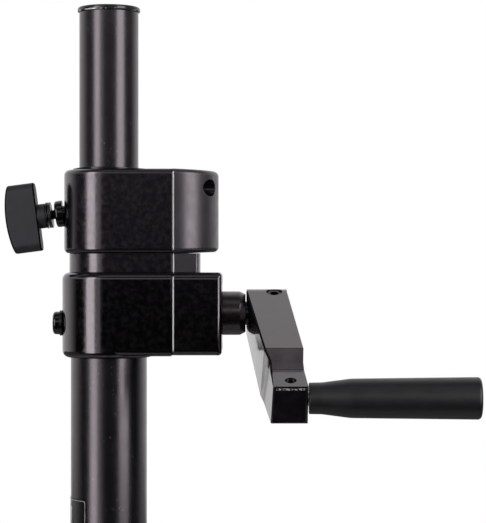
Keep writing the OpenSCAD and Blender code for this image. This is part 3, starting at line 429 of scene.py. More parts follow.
def paint(name, tone, rough, patch, peel, grain, dust, shine=1.0):
    """A black paint: tone, roughness, size of its patches, two reliefs as (size, depth) in mm, and dust."""
    finish = new_finish(name, specular_tint=PAINTED_LIGHT_TINT, specular_ior_level=shine)
    mottle(finish, tuple(1.6 * t for t in tone), tuple(0.5 * t for t in tone), patch)
    drift_gloss(finish, *rough, patch)
    relief(finish, (noise(finish, peel[0], 1), peel[1]), (noise(finish, grain[0], 2), grain[1]))
    return specks(finish, DUST_SIZE, dust, DUST)


cast_paint = paint("cast_black_enamel", (0.0018, 0.0016, 0.0028), (0.15, 0.25), 3,
                   peel=(1.8, 0.016), grain=(0.5, 0.006), dust=0.02)
block_paint = paint("gloss_black_enamel", (0.0005, 0.0005, 0.0007), (0.11, 0.20), 3,
                    peel=(1.8, 0.014), grain=(0.5, 0.005), dust=0.01)
cap_paint = paint("satin_black_enamel", (0.008, 0.0076, 0.0095), (0.32, 0.40), 8,
                  peel=(3.0, 0.014), grain=(0.4, 0.005), dust=0.03)
tube_paint = paint("tube_powder_coat", (0.001, 0.001, 0.0014), (0.23, 0.27), 12,
                   peel=(0.9, 0.02), grain=(0.45, 0.012), dust=0.02, shine=0.8)
# Pale specks on the tube coat are painted glints: sparkle of light painted into its colour.
specks(tube_paint, 0.9, 0.045, (0.2, 0.18, 0.2))
bearing_paint = paint("bearing_enamel", (0.006, 0.0045, 0.0042), (0.22, 0.34), 4,
                      peel=(1.6, 0.02), grain=(0.4, 0.008), dust=0.05, shine=0.8)
arm_paint = paint("arm_gloss_enamel", (0.0035, 0.003, 0.0035), (0.08, 0.14), 8,
                  peel=(3.4, 0.006), grain=(0.6, 0.002), dust=0.01)
print("Paints:", [m.name for m in (cast_paint, block_paint, cap_paint, tube_paint, arm_paint)])

# %% [markdown]
# Beside the joint of two castings, on the arm's end and on the lip of the mast's collar, the paint has worn
# off and bright metal shows. It is made as metal that still carries crumbs of paint: a noise decides between
# the two, and it drives both the colour and the metallic value, so that the crumbs look like paint.

# %% Worn edges
CRUMB = (0.004, 0.004, 0.005)


def worn(name, bare, size, start, end):
    """Bare metal with crumbs of paint of about that size; the noise range sets how much paint is left."""
    finish = new_finish(name, roughness=0.5)
    share = spread(finish, noise(finish, size, 3), 0, 1, start, end)
    feed(finish, "Base Color", blend_colours(finish, share, CRUMB, bare))
    feed(finish, "Metallic", share)
    return relief(finish, (noise(finish, 0.5, 2), 0.02))


worn_edge = worn("worn_casting_edge", (0.72, 0.70, 0.71), 3, 0.12, 0.46)
chipped_edge = worn("chipped_arm_edge", (0.85, 0.83, 0.83), 1.3, 0.50, 0.56)
lip_edge = worn("worn_mast_lip", (0.85, 0.84, 0.85), 6, 0.50, 0.56)
print("Worn finishes:", worn_edge.name, chipped_edge.name, lip_edge.name)

# %% [markdown]
# ## Plastics, rubber and metals
# Moulded plastic scatters light in a fine even grain and has hardly any patches. Rubber is rougher still.
# Lacquer is the same recipe with a low roughness. Screws are steel with a black oxide skin, so they are
# metallic but dark. Parts inside the head get their true metals too, because someone may open the model.

# %% Mix plastics, rubber and metals
def plastic(name, tone, rough, grain, shine=0.5):
    """A moulded plastic, rubber or lacquer with an even grain of (size, depth) in mm."""
    finish = new_finish(name, specular_ior_level=shine)
    mottle(finish, tuple(1.2 * t for t in tone), tuple(0.8 * t for t in tone), 5)
    drift_gloss(finish, *rough, 8)
    relief(finish, (noise(finish, grain[0], 3), grain[1]), (noise(finish, 3, 1), 0.01))
    return specks(finish, 0.5, 0.02, tuple(min(1, 3 * t + 0.03) for t in tone))


def metal(name, tone, rough, lines=(1, 1, 1)):
    """A metal whose fine tool marks run along the axis where lines is small."""
    finish = new_finish(name, metallic=1.0)
    mottle(finish, tuple(min(1, 1.12 * t) for t in tone), tuple(0.88 * t for t in tone), 3)
    drift_gloss(finish, *rough, 2)
    return relief(finish, (noise(finish, 0.3, 2, lines), 0.004))


grip_plastic = plastic("grip_plastic", (0.003, 0.003, 0.0042), (0.40, 0.46), (0.5, 0.012))
knob_plastic = plastic("knob_plastic", (0.006, 0.006, 0.010), (0.52, 0.60), (0.35, 0.012))
painted_shade_knob_rim = plastic("painted_shade_knob_rim", (0.001, 0.001, 0.0015), (0.8, 0.9), (0.35, 0.008), shine=0.05)
# A dark dull finish that paints shade: the black line along the joint of the castings and along the arm's
# inner top edge.
painted_shade_edge = plastic("painted_shade_enamel_edge", (0.001, 0.001, 0.0012), (0.6, 0.7), (0.6, 0.01), shine=0.1)
bush_plastic = plastic("bush_plastic", (0.004, 0.0038, 0.004), (0.16, 0.26), (0.6, 0.004))
plain_plastic = plastic("plain_black_plastic", (0.010, 0.010, 0.011), (0.42, 0.55), (0.5, 0.015))
glide_plastic = plastic("white_glide_plastic", (0.72, 0.7, 0.66), (0.35, 0.45), (0.6, 0.01))
rubber = plastic("foot_rubber", (0.018, 0.018, 0.018), (0.65, 0.8), (0.7, 0.04))
brake_lining = plastic("brake_lining", (0.12, 0.07, 0.04), (0.7, 0.85), (0.8, 0.06))
label_film = plastic("label_film", (0.003, 0.003, 0.0035), (0.2, 0.28), (1.5, 0.004))
label_ink = plastic("label_border_ink", (0.42, 0.4, 0.38), (0.35, 0.45), (0.6, 0.004))
black_steel = metal("black_oxide_steel", (0.05, 0.048, 0.05), (0.26, 0.38))
black_gloss = plastic("black_lacquered_steel", (0.0015, 0.0015, 0.002), (0.12, 0.18), (0.5, 0.002))
bright_steel = metal("ground_steel", (0.56, 0.55, 0.54), (0.18, 0.3), (1, 1, 0.1))
zinc_steel = metal("zinc_plated_steel", (0.5, 0.5, 0.49), (0.25, 0.4))
cable_steel = metal("stranded_cable_steel", (0.42, 0.42, 0.41), (0.3, 0.45), (1, 1, 0.25))
bronze = metal("sintered_bronze", (0.5, 0.33, 0.16), (0.35, 0.5))
print("Finishes in all:", len(bpy.data.materials))

# %% [markdown]
# ## Dressing the CAD parts that stay
# Small screws, washers and everything inside the head already have their true shape. They keep their CAD
# mesh and only get a finish, which is put in the material slot of each node's own object.

# %% Give the CAD nodes their finishes
KEPT_PARTS = {
    cast_paint: ["base_hub", "leg_hub"],
    plain_plastic: ["base_plug", "leg_hub_liner"],
    glide_plastic: ["mast_foot_glide", "cable_pulley"],
    black_steel: ["base_hub_screws", "winch_cover_screws", "pulley_cap_screws", "clamp_washer",
                  "arm_set_screws", "shaft_circlip", "crank_shaft"],
    black_gloss: ["clamp_bolt"],
    bright_steel: ["pulley_axle", "grip_axle", "one_way_clutch"],
    zinc_steel: ["leg_hub_bolts", "brace_bolts_1", "brace_bolts_2", "brace_bolts_3", "cable_drum",
                 "brake_plate"],
    cable_steel: ["cable_rise", "lift_cable", "cable_turns"],
    bronze: ["shaft_bush", "cable_anchor", "lock_pad"],
    brake_lining: ["friction_disc"],
}
for finish, names in KEPT_PARTS.items():
    for name in names:
        node = frame["nodes"][name]
        node.data.materials.clear()
        node.data.materials.append(finish)
print("CAD parts dressed:", sum(len(names) for names in KEPT_PARTS.values()))

# %% [markdown]
# ## The two main tubes
# The column and the mast are drawn steel tubes. From afar they are plain, so everything depends on a smooth
# round surface: a highlight along a tube shows each facet. Both are turned from their CAD box, with small
# round edges at the ends. The mast ends in a black collar whose lip is a little wider than the tube. The
# foot of the lip has worn, so the lowest faces of its outside get the worn finish.

# %% Column, mast and collar
def turned(name, outline, place, body, slot, finish, *nodes, around=96):
    """A lathe piece, finished and riding on its body."""
    made = to_object(name, lathe(bmesh.new(), outline, place, around))
    return add_piece(made, body, slot, finish, *nodes)


column_low, column_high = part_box("column_tube")
mast_low, mast_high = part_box("mast_tube")
COLUMN_WALL, MAST_WALL, SPIGOT_BORE, SPIGOT_DEPTH = mm(1.5, 2, 14.4, 80)
SEAT, LIP_WEAR = mm(0.05, 0.7)
column_r, mast_r = column_high.x, mast_high.x
turned("painted_column", hollow(column_r - COLUMN_WALL, column_r, column_low.z, column_high.z, 0.4 * MM),
       UPRIGHT, "column", "black_powder_coat", tube_paint, "column_tube", around=128)
turned("painted_mast", hollow(mast_r - MAST_WALL, mast_r, mast_low.z, mast_high.z, 0.3 * MM),
       UPRIGHT, "mast", "mast_coat", tube_paint, "mast_tube", around=128)

_, collar_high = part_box("mast_top_collar")
lip_low, spigot_low, mast_bore = mast_high.z + SEAT, collar_high.z - SPIGOT_DEPTH, mast_r - MAST_WALL
collar = soften([
    (SPIGOT_BORE, spigot_low, 0.5 * MM), (mast_bore, spigot_low, 0.5 * MM), (mast_bore, lip_low, 0),
    (collar_high.x, lip_low, 0.7 * MM), (collar_high.x, collar_high.z, 1.3 * MM),
    (SPIGOT_BORE, collar_high.z, 0.8 * MM)])
ring = lathe(bmesh.new(), collar, UPRIGHT, 128)
for face in ring.faces:
    middle = face.calc_center_median()
    if middle.xy.length > mast_r and lip_low < middle.z < lip_low + LIP_WEAR:
        face.material_index = 1
made = combine(ring, "mast_collar", [], (bush_plastic, lip_edge))
add_piece(made, "mast", "bush_plastic", bush_plastic, "mast_top_collar")

# %% [markdown]
# ## The winch head's castings
# Lower housing, winch cover, upper housing and pulley cap are blocks with round edges that meet at one
# upright parting plane. Each is pulled up from its outline, sliced at that plane, and drilled. The slice
# gets a tiny round edge too. On the covers, the narrow rim next to the joint gets a dark dull finish, painted
# shade of the joint's groove, which draws a black line there, and a strip beside it has lost its paint, which
# draws a bright one.

# %% Sizes of the holes, and the outlines of the castings
LOWER_EDGE, UPPER_EDGE, END_EDGE, COVER_CORNER, NECK_CORNER = mm(4.2, 3, 2.3, 3, 2)
PARTING_EDGE, NECK_EDGE, CABLE_WAY, OVERHANG, THROUGH = mm(0.25, 0.3, 2.3, 8, 5)
BARE_STRIP = mm(0.75, 1.5)
HEAD_BORE = column_r - 1.7 * MM
DRUM_ROOM, SHAFT_HOLE, BEARING_SEAT = mm(22, 8.05, 10)
COLLAR_DROP, COLLAR_SHOWS, CLAMP_HOLE, CLAMP_DEEP = mm(1.5, 12, 4.05, 12)
lower_low, lower_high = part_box("lower_housing")
cover_low, cover_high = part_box("winch_cover")
neck_low, neck_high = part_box("housing_neck")
neck_cover_low, neck_cover_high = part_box("neck_cover")
upper_low, upper_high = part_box("upper_housing")
cap_low, cap_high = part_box("pulley_cap")
parting_x = lower_high.x
print("Parting plane at x =", round(parting_x / MM, 2), "mm")


def side_point(x, half, side):
    """A point of a straight side, in front (-1) or behind (1), with its outward direction."""
    return Vector((x, side * half)), Vector((0, side))


def round_left(radius, end):
    """The outline of a housing: round about the mast and straight to x = end."""
    return [side_point(end, radius, 1), *arc((0, 0), radius, 90, 270), side_point(end, radius, -1)]


def round_right(centre, radius, start):
    """The outline of the pulley cap: straight from x = start and round about centre."""
    return [side_point(start, radius, -1), *arc((centre, 0), radius, -90, 90), side_point(start, radius, 1)]


def square_right(start, end, half, corner, edge, end_edge):
    """The outline of a cover: a rectangle with two round corners and an edge of its own at its far end."""
    corners = arc((end - corner, corner - half), corner, -90, 0, 9)
    front = [(point, out, edge + (end_edge - edge) * out.x) for point, out in corners]
    back = [(Vector((p.x, -p.y)), Vector((out.x, -out.y)), own) for p, out, own in reversed(front)]
    return [side_point(start, half, -1), *front, *back, side_point(start, half, 1)]


# %% Lower housing
def casting(name, shell, cuts, finishes, node):
    """Drill a shell of the head, and let it ride on the column."""
    add_piece(combine(shell, name, cuts, finishes), "column", "black_enamel", finishes[0], node)


def mast_hole(low, high):
    return rod(HEAD_BORE, low - THROUGH, high + THROUGH, around=96)


def left_shell(radius, low, high, edge):
    """A housing from the mast to the parting plane."""
    shell = block(bmesh.new(), round_left(radius, parting_x + OVERHANG), low, high, edge)
    return slice_off(shell, parting_x, 1, PARTING_EDGE)


def right_shell(outline, low, high, edge):
    """A cover from the parting plane on, with the dark rim of painted groove shade and the bare strip along
    its edge.
    """
    shell = block(bmesh.new(), outline, low, high, edge)
    return slice_off(shell, parting_x, -1, PARTING_EDGE, BARE_STRIP)


shell = left_shell(-lower_low.x, lower_low.z + COLLAR_DROP, lower_high.z, LOWER_EDGE)
foot_r, foot_top = -lower_low.x - 0.02 * MM, lower_low.z + COLLAR_SHOWS
disc = soften([
    (0, lower_low.z, 0), (foot_r, lower_low.z, LOWER_EDGE), (foot_r, foot_top, 0), (0, foot_top, 0)])
blank = fuse(shell, lathe(bmesh.new(), disc, around=72))
column_hole = rod(column_r + SEAT, lower_low.z - THROUGH, column_high.z, around=128)
clamp_low, clamp_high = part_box("clamp_bolt")
clamp_place = place_on((lower_low.x - 2 * MM, 0, (clamp_low.z + clamp_high.z) / 2), (1, 0, 0), DOWN)
cuts = [mast_hole(lower_low.z, lower_high.z), column_hole, rod(CLAMP_HOLE, 0, CLAMP_DEEP, clamp_place),
        rod(DRUM_ROOM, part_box("cable_drum")[0].x - 0.6 * MM, parting_x + THROUGH, shaft_place),
        rod(SHAFT_HOLE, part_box("shaft_bush")[0].x - SEAT, parting_x, shaft_place)]
casting("lower_casting", blank, cuts, [block_paint], "lower_housing")

# %% [markdown]
# The face of the winch cover is not quite flat: it is drawn back a little towards its top, as castings are
# so that they leave their mould. On a glossy black part that shows at once, because the upper half of the
# face then mirrors a brighter part of the room than the lower half does.

# %% Winch cover with its drawn-back face
SCREW_Y, SCREW_RISE, SCREW_HEAD, SCREW_DEEP = mm(14, 19.6, 2.85, 3.65)
DRAFT = math.tan(math.radians(1.1))


def cover_screw_places():
    """Where the four cover screws enter, looking along the shaft."""
    return [place_on((cover_high.x, y * SCREW_Y, shaft_at.z + z * SCREW_RISE), (-1, 0, 0), DOWN)
            for y in (-1, 1) for z in (-1, 1)]


outline = square_right(parting_x - OVERHANG, cover_high.x, cover_high.y, COVER_CORNER, LOWER_EDGE, END_EDGE)
shell = right_shell(outline, cover_low.z, cover_high.z, LOWER_EDGE)
for vert in shell.verts:
    lean = max(0, vert.co.z - shaft_at.z) * DRAFT
    vert.co.y -= math.copysign(min(lean, abs(vert.co.y)), vert.co.y)
cuts = [rod(SCREW_HEAD, -3 * MM, SCREW_DEEP, place, 40) for place in cover_screw_places()]
cuts.append(rod(DRUM_ROOM, parting_x - THROUGH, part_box("crank_bearing")[0].x, shaft_place))
cuts.append(rod(BEARING_SEAT + SEAT, parting_x, cover_high.x + THROUGH, shaft_place))
casting("winch_cover_casting", shell, cuts, [block_paint, worn_edge, painted_shade_edge], "winch_cover")

# %% The neck, in two pieces like the housings
shell = left_shell(-neck_low.x, neck_low.z, neck_high.z, NECK_EDGE)
casting("neck_casting", shell, [mast_hole(neck_low.z, neck_high.z)], [cast_paint], "housing_neck")
outline = square_right(parting_x - OVERHANG, neck_cover_high.x, neck_cover_high.y, NECK_CORNER,
                       NECK_EDGE, NECK_EDGE)
shell = right_shell(outline, neck_cover_low.z, neck_cover_high.z, NECK_EDGE)
rise_low, rise_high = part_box("cable_rise")
rise_place = Matrix.Translation(((rise_low.x + rise_high.x) / 2, (rise_low.y + rise_high.y) / 2, 0))
cable_way = rod(CABLE_WAY, neck_low.z - THROUGH, neck_high.z + THROUGH, rise_place, 32)
casting("neck_cover_casting", shell, [cable_way], [cap_paint, worn_edge, painted_shade_edge], "neck_cover")

# %% [markdown]
# The lock screw's boss stands on a small flat that is milled into the round of the upper housing, and the
# pulley cap has a deep recess for each of its two screws. The faces of the recess cutters carry the cap's
# third finish, a dark lacquer that paints shade into the holes, so they look deep. The cap also gets thinner
# towards its end.

# %% Upper housing and pulley cap
CAP_SCREW_Y, CAP_SCREW_RISE, RECESS_R, RECESS_FLOOR, RECESS_DEEP = mm(14.9, 38.3, 5, 50, 20)
BOSS_R, BOSS_FOOT, BOSS_OUT, LOCK_SCREW_R, LOCK_HOLE = mm(7.8, 0.4, 5.2, 3, 4.6)
CAP_WALL, HOLLOW_HIGH, DRAFT_FROM, ROOM_R, ROOM_HALF = mm(4, 31.3, 2, 15.1, 2.85)
CAP_DRAFT = 0.7 / 20
lock_at, lock_out = axis_of("mast_lock_turn", outwards=-1)
lock_place = place_on(lock_at, lock_out, DOWN)
pulley_at, pulley_axis = axis_of("pulley_turn")


def pulley_room():
    return rod(ROOM_R, -ROOM_HALF, ROOM_HALF, place_on(pulley_at, pulley_axis, DOWN))


shell = left_shell(-upper_low.x, upper_low.z, upper_high.z, UPPER_EDGE)
cuts = [mast_hole(upper_low.z, upper_high.z), pulley_room(),
        rod(BOSS_R + 0.5 * MM, BOSS_FOOT - SEAT, 8 * MM, lock_place),
        rod(LOCK_HOLE, -7 * MM, 2 * MM, lock_place)]
casting("upper_casting", shell, cuts, [cast_paint], "upper_housing")

cap_r = cap_high.x - parting_x
shell = right_shell(round_right(parting_x, cap_r, parting_x - OVERHANG), cap_low.z, cap_high.z, UPPER_EDGE)
middle = (cap_low.z + cap_high.z) / 2
for vert in shell.verts:
    beyond = max(0, vert.co.x - parting_x - DRAFT_FROM)
    vert.co.z = middle + (vert.co.z - middle) * (1 - beyond * CAP_DRAFT / (middle - cap_low.z))
recess_places = [place_on((RECESS_FLOOR, side * CAP_SCREW_Y, cap_low.z + CAP_SCREW_RISE), (1, 0, 0), DOWN)
                 for side in (-1, 1)]
cuts = [rod(RECESS_R, 0, RECESS_DEEP, place) for place in recess_places]
# Painted shade: the recess walls get the darker lacquer.
for cut in cuts:
    for face in cut.faces:
        face.material_index = 2
cap_place = Matrix.Translation((parting_x, 0, cap_low.z))
cuts += [rod(cap_r - CAP_WALL, CAP_WALL, HOLLOW_HIGH, cap_place), pulley_room()]
casting("pulley_cap_casting", shell, cuts, [cap_paint, worn_edge, bush_plastic], "pulley_cap")

# %% [markdown]
# ## The guide bush
# The mast slides in a plastic bush. Its flange is a thin ring on top of the upper housing that never lies
# quite flat, so its edge rises and falls by half a millimetre. The lathe makes the ring, and a short loop
# then lifts each point of the flange by a wave.

# %% A slightly wavy flange
bush_low, bush_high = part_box("mast_guide_bush")
flange_low = upper_high.z + SEAT
flange_top, WAVE = flange_low + 0.8 * MM, 0.3 * MM
inner_r, outer_r = mast_r + 0.1 * MM, HEAD_BORE - SEAT
flange = soften([
    (inner_r, bush_low.z, 0), (outer_r, bush_low.z, 0.3 * MM), (outer_r, flange_low, 0),
    (bush_high.x, flange_low, 0.25 * MM), (bush_high.x, flange_top, 0.25 * MM),
    (inner_r, flange_top, 0.2 * MM)])
ring = lathe(bmesh.new(), flange, UPRIGHT, 144)
for vert in ring.verts:
    if vert.co.z > flange_low - 0.01 * MM:
        turn = math.atan2(vert.co.y, vert.co.x)
        reach = (vert.co.xy.length - mast_r) / (bush_high.x - mast_r)
        vert.co.z += WAVE * reach * (1 + 0.6 * math.sin(3 * turn + 0.8) + 0.4 * math.sin(5 * turn))
add_piece(to_object("guide_flange", ring), "column", "bush_plastic", bush_plastic, "mast_guide_bush")

# %% [markdown]
# ## The crank's bearing
# The bearing of the crank shaft stands out of the winch cover as a round boss that tapers against the arm.
# It is a painted steel bush, turned and then bored for the shaft.

# %% Turn the bearing
bearing_low, bearing_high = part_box("crank_bearing")
BORE, BOSS_FULL, TAPER_R, TAPER = mm(7.06, 12.9, 11.2, 3.4)
flange_x = cover_high.x + SEAT
bearing = soften([
    (BORE, bearing_low.x, 0.3 * MM), (BEARING_SEAT, bearing_low.x, 0.3 * MM), (BEARING_SEAT, flange_x, 0),
    (BOSS_FULL, flange_x, 0.3 * MM), (BOSS_FULL, bearing_high.x - TAPER, 1.5 * MM),
    (TAPER_R, bearing_high.x, 0.4 * MM), (BORE, bearing_high.x, 0.3 * MM)])
turned("crank_bearing_boss", bearing, shaft_place, "column", "bush_plastic", bearing_paint, "crank_bearing")

# %% [markdown]
# ## The crank arm
# Seen from above the arm leans outwards, and seen from the side it has a thick hub, a flat, a short ramp and
# a thinner end. So each point of its side outline is given two mesh points, one on each flank, at the places
# that the plan gives for that distance from the shaft. Bevels then round the edges, and Booleans drill it.

# %% Shape of the arm
arm_low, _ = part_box("crank_arm")
grip_at, grip_axis = axis_of("grip_spin")
DROOP = math.radians(25)
HUB_R, HALF_HUB, END_T, SAG = mm(14.2, 12, 23.6, 2.9)
BEND, RAMP, REACH, OVER = mm(72, 11.2, 95.5, 7.2)
WAIST_SHARE = 0.6
WAIST, END = BEND + WAIST_SHARE * RAMP, REACH + OVER
TOP_EDGE, END_CORNER, SMALL_EDGE = mm(0.9, 1.5, 0.4)
CHIPS = mm(1.0, 2.3)
arm_mid_x = arm_low.x + HALF_HUB
end_top = END_T - HUB_R - SAG
# Distance from the shaft in metres; then, in mm from the hub's middle, the left flank at its top and at its
# foot, and the right flank.
PLAN = [(-HUB_R, -12, -12, 12), (0, -12, -12, 12), (BEND, -2.3, -4.3, 19.7), (WAIST, 0.9, -2.6, 19.4),
        (END, 2.4, 1.3, 21.8)]


def flanks(along, low):
    """Left and right flank of the arm at that distance from the shaft, at its top or at its foot."""
    for (start, *first), (end, *last) in zip(PLAN, PLAN[1:]):
        if along <= end + TINY:
            share = (along - start) / (end - start)
            top, foot, right = [arm_mid_x + (a + (b - a) * share) * MM for a, b in zip(first, last)]
            return (foot if low else top), right


def foot_of(along):
    """Height of the arm's lower face, which falls away towards the grip."""
    return -HUB_R - SAG * max(0, along) / END


arm_place = Matrix.Translation((0, 0, shaft_at.z)) @ Matrix.Rotation(DROOP, 4, "X")
hub_turns = [math.radians(90 + 180 * k / 24) for k in range(25)]
stations = [BEND, WAIST, BEND + RAMP, END]
tops = [HUB_R, HUB_R + (end_top - HUB_R) * WAIST_SHARE, end_top, end_top]
side = [(HUB_R * math.cos(a), HUB_R * math.sin(a), a > math.pi) for a in hub_turns]
side += [(along, foot_of(along), True) for along in stations]
side += [(along, z, False) for along, z in reversed(list(zip(stations, tops)))]

arm = bmesh.new()
rows = [[arm.verts.new(arm_place @ Vector((x, -along, z))) for x in flanks(along, low)]
        for along, z, low in side]
count, hub_end = len(side), len(hub_turns) - 1
for i, (left, right) in enumerate(rows):
    next_left, next_right = rows[(i + 1) % count]
    arm.faces.new([left, right, next_right, next_left])
cells = [list(range(hub_end + 1)), [hub_end, hub_end + 1, count - 1, 0]]
cells += [[hub_end + k, hub_end + k + 1, count - 1 - k, count - k] for k in (1, 2, 3)]
for cell in cells:
    for flank in (0, 1):
        arm.faces.new([rows[i][flank] for i in cell])
bmesh.ops.recalc_face_normals(arm, faces=arm.faces[:])
end_foot, end_head = rows[hub_end + 4], rows[hub_end + 5]
end_pairs = [(end_foot[0], end_foot[1]), (end_foot[0], end_head[0]), (end_foot[1], end_head[1])]
end_edges = [edge for one, other in end_pairs for edge in one.link_edges if other in edge.verts]
print("Arm:", len(arm.faces), "faces before its edges are rounded")

# %% [markdown]
# The corners of the arm's end are the roundest. Its inner top edge comes next, and the new faces of that
# bevel get the third finish, a dark dull one that paints shade along that edge; all other edges are only just
# broken. The enamel has chipped along the upper edge of the end face. Two cuts mark off the strip where the
# chips are, for the second finish.

# %% Round its edges and mark the chipped strip
to_arm = arm_place.inverted()


def on_long_edge(vert):
    """Whether a point lies on the inner upper edge, between hub and end."""
    x, y, z = to_arm @ vert.co
    return y < 0.01 * MM and z > 0 and abs(x - flanks(min(-y, END), low=False)[0]) < 0.02 * MM


round_off(arm, end_edges, END_CORNER, segments=4)
long_edge = [edge for edge in arm.edges if all(on_long_edge(vert) for vert in edge.verts)]
round_off(arm, long_edge, TOP_EDGE, finish=2)
round_sharp(arm, SMALL_EDGE, above=24, segments=2)
arm_up = arm_place.to_3x3() @ Vector((0, 0, 1))
for depth in CHIPS:
    slice_at(arm, arm_place @ Vector((0, -END, end_top - depth)), arm_up)
for face in arm.faces:
    _, y, z = to_arm @ face.calc_center_median()
    if abs(y + END) < 0.05 * MM and CHIPS[0] < end_top - z < CHIPS[1]:
        face.material_index = 1
print("Chipped faces:", sum(face.material_index == 1 for face in arm.faces))

# %% Drill the arm
def above_arm(x, along, height):
    """A point over the arm's top face, looking down through it."""
    return place_on(arm_place @ Vector((x, -along, height)), -arm_up, (1, 0, 0))


SHAFT_HOLE_R, AXLE_HOLE_R, SHAFT_SCREW_R, AXLE_SCREW_R = mm(7.05, 4.05, 4.75, 3.25)
shaft_screw = above_arm(arm_mid_x + 4.4 * MM, 0, HUB_R)
axle_screw = above_arm(arm_mid_x + 12.1 * MM, REACH, end_top)
grip_place = place_on(grip_at, grip_axis, DOWN)
axle_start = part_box("grip_axle")[0].x - grip_at.x
cuts = [rod(SHAFT_HOLE_R, arm_low.x - THROUGH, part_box("crank_shaft")[1].x + 0.2 * MM, shaft_place),
        rod(SHAFT_SCREW_R, -3 * MM, HUB_R, shaft_screw), rod(AXLE_SCREW_R, -3 * MM, END_T / 2, axle_screw),
        rod(AXLE_HOLE_R, axle_start - SEAT, axle_start + 40 * MM, grip_place)]
made = combine(arm, "crank_arm_casting", cuts, (arm_paint, chipped_edge, painted_shade_edge))
add_piece(made, "crank", "arm_enamel", arm_paint, "crank_arm")

# %% [markdown]
# ## The turning grip
# The grip is one moulded sleeve that spins on a steel axle. It starts narrow at the arm, flares out over
# a quarter of its length, and widens slightly to a rounded end. A lathe outline with generous corner radii
# gives that soft flare, which straight cones would not.

# %% Mould the grip
grip_low, grip_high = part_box("crank_grip")
GRIP_BORE, GRIP_NECK, GRIP_FLARE, GRIP_WALL = mm(4.06, 8.65, 10.85, 4.5)
start, end = grip_low.x - grip_at.x, grip_high.x - grip_at.x
end_r = (grip_high.z - grip_low.z) / 2
grip = soften([
    (0, end - GRIP_WALL, 0), (GRIP_BORE, end - GRIP_WALL, 0.4 * MM), (GRIP_BORE, start, 0.4 * MM),
    (GRIP_NECK, start, 0.6 * MM), (GRIP_NECK + 0.1 * MM, start + 7 * MM, 14 * MM),
    (GRIP_FLARE, start + 23 * MM, 30 * MM), (end_r, end, 2 * MM), (0, end, 0)])
turned("moulded_grip", grip, grip_place, "grip", "grip_plastic", grip_plastic, "crank_grip")

# %% [markdown]
# ## The lock knobs
# A T-knob is a bar on a round hub, moulded round the end of a screw. The bar is straight on the side of the
# screw and swells on the outside. It is built as rows of rectangles along its length: the round ends of the
# bar make the rows narrower, and the swelling makes them higher. Its rounded rim gets a darker, duller
# finish, painted shade that draws a dark outline round the bar.

# %% Mould a T-knob
BAR_LEN, BAR_W, BAR_END, BAR_MID, BAR_ROUND = mm(40.5, 15, 16, 19, 5)
BAR_EDGE, KNOB_HUB_R, KNOB_HUB, KNOB_START, SCREW_IN_KNOB = mm(0.9, 7.25, 4.6, 10.8, 8)


def t_knob(name, place, body, *nodes):
    """A knob on the screw whose axis is the Z axis of place, with its bar along X."""
    half, sag = BAR_LEN / 2, BAR_MID - BAR_END
    swell = (half ** 2 + sag ** 2) / (2 * sag)
    turns = [math.radians(11.25 * k) for k in range(9)]
    ends = [(half - BAR_ROUND * (1 - math.sin(a)), BAR_W / 2 - BAR_ROUND * (1 - math.cos(a))) for a in turns]
    middle = [((half - BAR_ROUND) * (1 - k / 5), BAR_W / 2) for k in range(1, 6)]
    row_places = [*reversed(ends), *middle]
    row_places += [(-x, w) for x, w in reversed(row_places[:-1])]
    foot = KNOB_START + KNOB_HUB
    bar, rings = bmesh.new(), []
    for x, w in row_places:
        top = foot + BAR_MID - swell + math.sqrt(swell ** 2 - x ** 2)
        rings.append([bar.verts.new(place @ Vector((x, y, z))) for y, z in (
            (-w, foot), (w, foot), (w, top), (-w, top))])
    bmesh.ops.recalc_face_normals(bar, faces=skin(bar, rings).faces[:])
    # The rim's faces get the second finish: painted shade along the bar's edges.
    round_sharp(bar, BAR_EDGE, above=60, finish=1)
    inside = foot + 1 * MM
    hub = soften([
        (0, KNOB_START, 0), (KNOB_HUB_R, KNOB_START, 0.5 * MM), (KNOB_HUB_R, inside, 0), (0, inside, 0)])
    knob = fuse(bar, lathe(bmesh.new(), hub, place, 64))
    hole = rod(LOCK_SCREW_R + SEAT, KNOB_START - THROUGH, foot + SCREW_IN_KNOB + SEAT, place)
    made = combine(knob, name, [hole], (knob_plastic, painted_shade_knob_rim))
    return add_piece(made, body, "knob_plastic", knob_plastic, *nodes)


t_knob("mast_lock_knob", lock_place, "mast_lock_knob", "lock_knob")
leg_lock_at, leg_lock_out = axis_of("leg_lock_turn", outwards=-1)
leg_lock_place = place_on(leg_lock_at, leg_lock_out, DOWN)
crosswise = leg_lock_place @ Matrix.Rotation(math.pi / 2, 4, "Z")
t_knob("hub_lock_knob", crosswise, "leg_lock_knob", "leg_lock_knob")

# %% [markdown]
# ## Lock screws, washers and boss
# The bare end of a lock screw shows its thread. A thread is one surface whose radius rises and falls along
# a helix, so each point of the mesh reads its phase from its height and its turn. The three washers between
# knob and boss are loose, and each lies a degree or two askew.

# %% Cut a thread and stack the washers
PITCH, THREAD_DEPTH = mm(1, 0.45)


def threaded_rod(name, place, low, high, body, *nodes):
    """A screw along the Z axis of place, with a right-hand thread and chamfered ends."""
    around, per_turn = 32, 8
    count = round((high - low) / PITCH * per_turn)
    bm, rings = bmesh.new(), []
    for row in range(count + 1):
        z = low + (high - low) * row / count
        taper = min(1, (z - low) / PITCH, (high - z) / PITCH)
        ring = []
        for k in range(around):
            turn = math.tau * k / around
            phase = (z / PITCH - turn / math.tau) % 1
            depth = THREAD_DEPTH * abs(2 * phase - 1)
            radius = LOCK_SCREW_R - 0.02 * MM - max(depth, THREAD_DEPTH * (1 - taper))
            ring.append(bm.verts.new(place @ polar(radius, turn, z)))
        rings.append(ring)
    return add_piece(to_object(name, skin(bm, rings)), body, "black_steel", black_steel, *nodes)


WASHER_R, WASHER_BORE, WASHER_T, WASHER_STEP, WASHER_EDGE = mm(7.7, 3.2, 0.8, 1.2, 0.18)
TILTS = [(1.2, 0.4), (-0.9, 1.0), (0.7, -1.2)]


